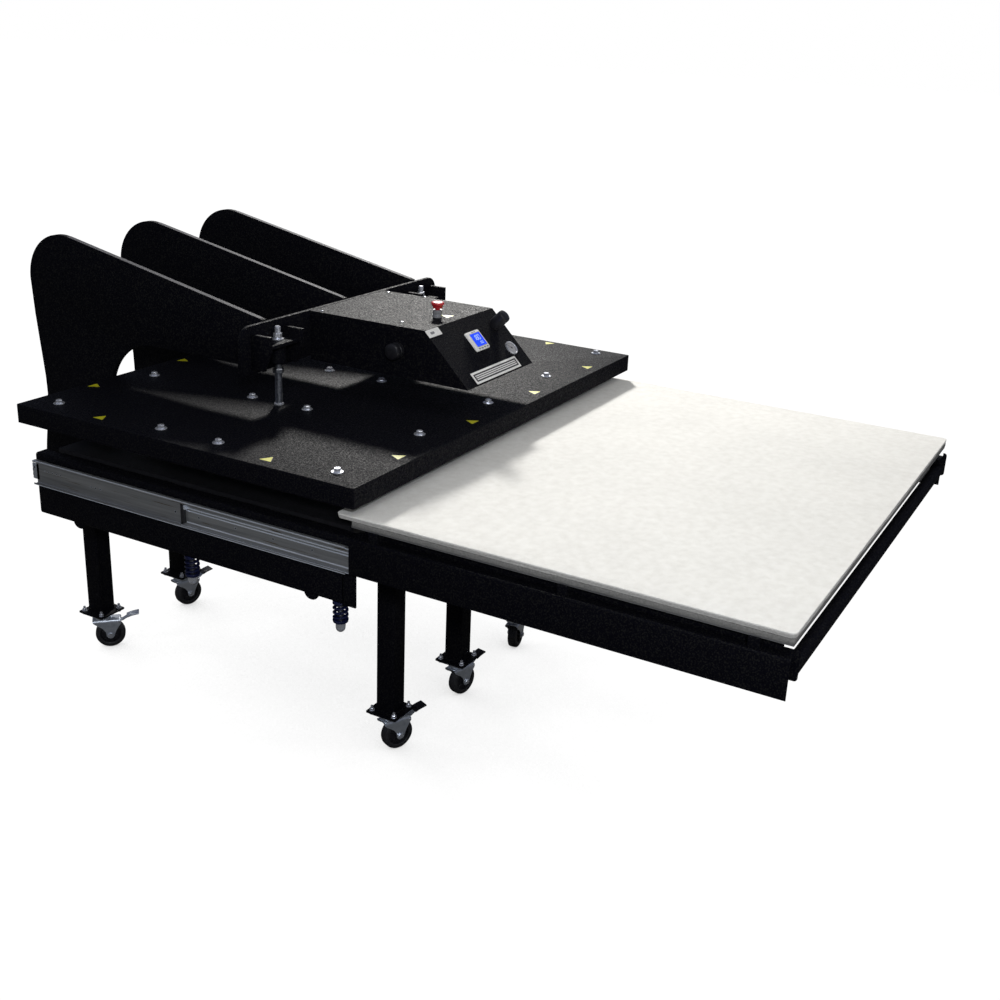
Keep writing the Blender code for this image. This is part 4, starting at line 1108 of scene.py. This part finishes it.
def make_caster(place, fork_mesh):
    low, high = box(f"caster_wheel_{place}")
    column = place.split("_")[1]
    x = middle(f"c_frame_{column}").x
    y = LEG_Y[0] if place.startswith("front") else LEG_Y[1]
    heading = Matrix.Rotation(math.radians(HEADINGS[place]), 4, "Z")
    at = Matrix.Translation((x, y, 0)) @ heading
    foot = box(f"c_frame_{column}")[0].z
    make_foot_hardware(place, x, y, foot)
    top = foot - 0.0040
    race = [(0, 0.1096), (0.0240, 0.1096), (0.0300, 0.1135), (0.0325, 0.1200), (0.0325, 0.1262), (0.0305, 0.1276),
            (0.0330, 0.1288), (0.0330, top - 0.0006), (0.0310, top), (0, top)]
    shapes = [(fork_mesh.copy(), "zinc"), (turned(race, 56), "zinc"),
              (rod(0.0055, -0.0290, 0.0290, 20, "y", AXLE, 0.0008), "steel"),
              (hexagon(0.0150, -0.0300, -0.0242, "y", AXLE, 0.3), "steel"),
              (hexagon(0.0150, 0.0242, 0.0300, "y", AXLE, 0.1), "steel"),
              (rod(0.0025, -0.0262, 0.0262, 16, "y", PEDAL_PIN, 0.0005), "steel")]
    for side in (-1, 1):
        shapes.append((turned([(0, 0), (0.0045, 0), (0.0038, side * 0.0018), (0, side * 0.0022)], 20, "y",
                              (PEDAL_PIN[0], side * 0.0240, PEDAL_PIN[2])), "steel"))
    piece(f"fork_{place}", f"fork_{place}", "zinc_plate", *shapes, replaces=[f"caster_fork_{place}"], at=at)
    radius = (high.z - low.z) / 2
    half = 0.016
    tyre = [(0.0350, -half + 0.001), (0.0365, -half), (radius - 0.006, -half), (radius - 0.0018, -half + 0.0025),
            (radius - 0.0002, -half + 0.007), (radius, 0), (radius - 0.0002, half - 0.007),
            (radius - 0.0018, half - 0.0025), (radius - 0.006, half), (0.0365, half), (0.0350, half - 0.001)]
    hub = [(0.0062, -0.0205), (0.0115, -0.0205), (0.0130, -0.0190), (0.0140, -0.0120), (0.0310, -0.0095),
           (0.0330, -0.0148), (0.0352, -0.0154), (0.0352, 0.0154), (0.0330, 0.0148), (0.0310, 0.0095),
           (0.0140, 0.0120), (0.0130, 0.0190), (0.0115, 0.0205), (0.0062, 0.0205)]
    ribs = []
    for k in range(6):
        for side in (-1, 1):
            start, end = sorted((side * 0.0090, side * 0.0145))
            rib = soften(block((0.012, start, -0.0012), (0.0340, end, 0.0012)), 0.0005)
            spoke = Matrix.Translation(AXLE) @ Matrix.Rotation(math.tau * k / 6 + 0.3, 4, "Y")
            ribs.append((moved(rib, spoke), "black"))
    piece(f"wheel_{place}", f"wheel_{place}", "black_rubber", (turned(tyre, 72, "y", AXLE), "tread"),
          (turned(hub, 56, "y", AXLE), "black"), *ribs, replaces=[f"caster_wheel_{place}"], at=at)
    make_pedal(place, at)


def make_pedal(place, at):
    """The brake lever: a zinc arm on its pin and a ribbed black tread."""
    zinc_tread = place == "rear_left"
    arm = strip([(-0.004, -0.001), (0.010, -0.001), (0.036, 0.0155), (0.062, 0.0200)], 0.0028, 0.008)
    shapes = [(soften(prism(arm, "y", -0.0115, 0.0115), 0.0006, above=50), "zinc"),
              (tube(0.0032, 0.0055, -0.0175, 0.0175, 28, "y"), "zinc")]
    kind = "zinc" if zinc_tread else "black"
    pad = strip([(0.026, 0.0125), (0.042, 0.0185), (0.068, 0.0232)], 0.0050, 0.01)
    shapes.append((soften(prism(pad, "y", -0.0172, 0.0172), 0.0014, 3, above=40), kind))
    for k in range(6):
        along = 0.037 + 0.0052 * k
        height = 0.0186 + 0.185 * (along - 0.037)
        rib = soften(block((along - 0.0009, -0.0145, height), (along + 0.0009, 0.0145, height + 0.0022)), 0.0004)
        shapes.append((rib, kind))
    shapes = [(shifted(form, *PEDAL_PIN), finish_name) for form, finish_name in shapes]
    piece(f"pedal_{place}", f"pedal_{place}", "black_plastic", *shapes, replaces=[f"brake_pedal_{place}"], at=at)


# ---- stage, light and camera ---------------------------------------------------------------
def seen_by(tree, ray):
    return add_node(tree, "ShaderNodeLightPath").outputs[f"Is {ray} Ray"]


def floor_finish():
    """White to the camera, with a painted shadow from ambient occlusion darkening it close to what stands on it, and
    dark in every reflection and bounce.
    """
    made = bpy.data.materials.new("pale_floor")
    made.use_nodes = True
    tree = made.node_tree
    shader = tree.nodes["Principled BSDF"]
    place = add_node(tree, "ShaderNodeTexCoord").outputs["Object"]
    cloud = add_node(tree, "ShaderNodeTexNoise", Vector=place, Scale=0.7, Detail=2.0)
    # Ambient occlusion darkens the floor's glow near the press: a painted shadow.
    near = add_node(tree, "ShaderNodeAmbientOcclusion", {"samples": 8}, Distance=1.1)
    shade = spread(tree, near.outputs["AO"], 0.12, 0.62, 0.52, 1.04)
    pale = mixed(tree, cloud.outputs["Fac"], (0.995, 0.995, 0.995), (1.0, 1.0, 1.0))
    tree.links.new(pale, shader.inputs["Emission Color"])
    seen = add_node(tree, "ShaderNodeMath", {"operation": "MULTIPLY"})
    tree.links.new(shade, seen.inputs[0])
    tree.links.new(seen_by(tree, "Camera"), seen.inputs[1])
    tree.links.new(seen.outputs[0], shader.inputs["Emission Strength"])
    camera = seen_by(tree, "Camera")
    tree.links.new(mixed(tree, camera, (0.10, 0.10, 0.10), (0, 0, 0)), shader.inputs["Base Color"])
    shader.inputs["Specular IOR Level"].default_value = 0.0
    shader.inputs["Roughness"].default_value = 1.0
    return made


def make_stage():
    form = bmesh.new()
    reach = 60
    form.faces.new([form.verts.new((a * reach, b * reach, 0)) for a, b in ((-1, -1), (1, -1), (1, 1), (-1, 1))])
    floor = add_object("studio_floor", add_mesh("studio_floor", form))
    floor.data.materials.append(floor_finish())
    floor.location.z = CAD_BOX[0].z - 0.0005


def light(name, kind, at, target, power, colour, size):
    data = bpy.data.lights.new(name, kind)
    data.energy, data.color = power, colour
    data.shape, data.size, data.size_y = "RECTANGLE", size[0], size[1]
    made = add_object(name, data)
    made.location = at
    made.rotation_mode = "QUATERNION"
    made.rotation_quaternion = (Vector(target) - Vector(at)).to_track_quat("-Z", "Y")
    made.visible_camera = False


def make_lights():
    world = bpy.data.worlds.new("studio")
    world.use_nodes = True
    bpy.context.scene.world = world
    tree = world.node_tree
    background = tree.nodes["Background"]
    bluish = mixed(tree, seen_by(tree, "Glossy"), (1.0, 0.99, 0.97), (0.80, 0.88, 1.20))
    tree.links.new(mixed(tree, seen_by(tree, "Camera"), bluish, (1, 1, 1)), background.inputs["Color"])
    ambient, mirrored_ambient, backdrop = 0.28, 0.15, 1.0
    dim = mixed(tree, seen_by(tree, "Glossy"), ambient, mirrored_ambient, "FLOAT")
    tree.links.new(mixed(tree, seen_by(tree, "Camera"), dim, backdrop, "FLOAT"), background.inputs["Strength"])
    light("key", "AREA", (4.2, 2.6, 4.2), (0, 0, 0.9), 385, (1.0, 0.98, 0.94), (0.6, 0.6))
    light("overhead", "AREA", (-0.6, -2.4, 4.4), (-0.3, -1.2, 0.9), 30, (1.0, 0.99, 0.97), (2.0, 2.0))
    light("flash", "AREA", (-3.9, -2.6, 2.9), (0, 0, 0.8), 75, (0.92, 0.95, 1.0), (0.4, 0.3))
    scene = bpy.context.scene
    scene.view_settings.view_transform = "Standard"
    scene.view_settings.look = "None"


def make_camera():
    """The photograph's viewpoint: 28 degrees off the side, 20 degrees down, slightly rolled."""
    yaw, pitch, roll = math.radians(28.133), math.radians(19.843), math.radians(2.642)
    forward = Vector((math.cos(yaw) * math.cos(pitch), math.sin(yaw) * math.cos(pitch), -math.sin(pitch)))
    right = Vector((math.sin(yaw), -math.cos(yaw), 0))
    up = right.cross(forward)
    across = right * math.cos(roll) + up * math.sin(roll)
    above = up * math.cos(roll) - right * math.sin(roll)
    data = bpy.data.cameras.new("photo_camera")
    data.sensor_width, data.lens = 36, 44.68
    data.shift_x, data.shift_y = -0.0147, -0.0275
    made = add_object("photo_camera", data)
    turn = Matrix((across, above, -forward)).transposed().to_4x4()
    made.matrix_world = Matrix.Translation(Vector((-3.188, -2.310, 2.145)) + CENTRE) @ turn
    bpy.context.scene.camera = made


# ---- assembly ------------------------------------------------------------------------------
def main():
    make_camera()
    make_stage()
    make_lights()
    for column in COLUMNS:
        make_c_frame(column)
        make_air_spring(column)
    make_base_frame()
    make_cross_beam()
    make_platen()
    keep_node("heater_plate", "aluminium")
    keep_node("press_bed", "cast", 0.0015)
    for label, side in SIDES:
        make_hanger_rod(label)
        make_rail_carrier(label, side)
        make_slides(label, side)
        keep_node(f"slide_inner_{label}", "rail", 0.0004)
        for row in ("front", "rear"):
            make_die_spring(f"{row}_{label}")
    make_table_frame()
    make_table_top()
    make_pull_tube()
    make_box_details()
    make_temperature_controller()
    make_pressure_gauge()
    make_regulator_knob()
    make_buttons()
    fork_mesh = fork_shape()
    for place in PLACES:
        make_caster(place, fork_mesh)
    fork_mesh.free()


main()
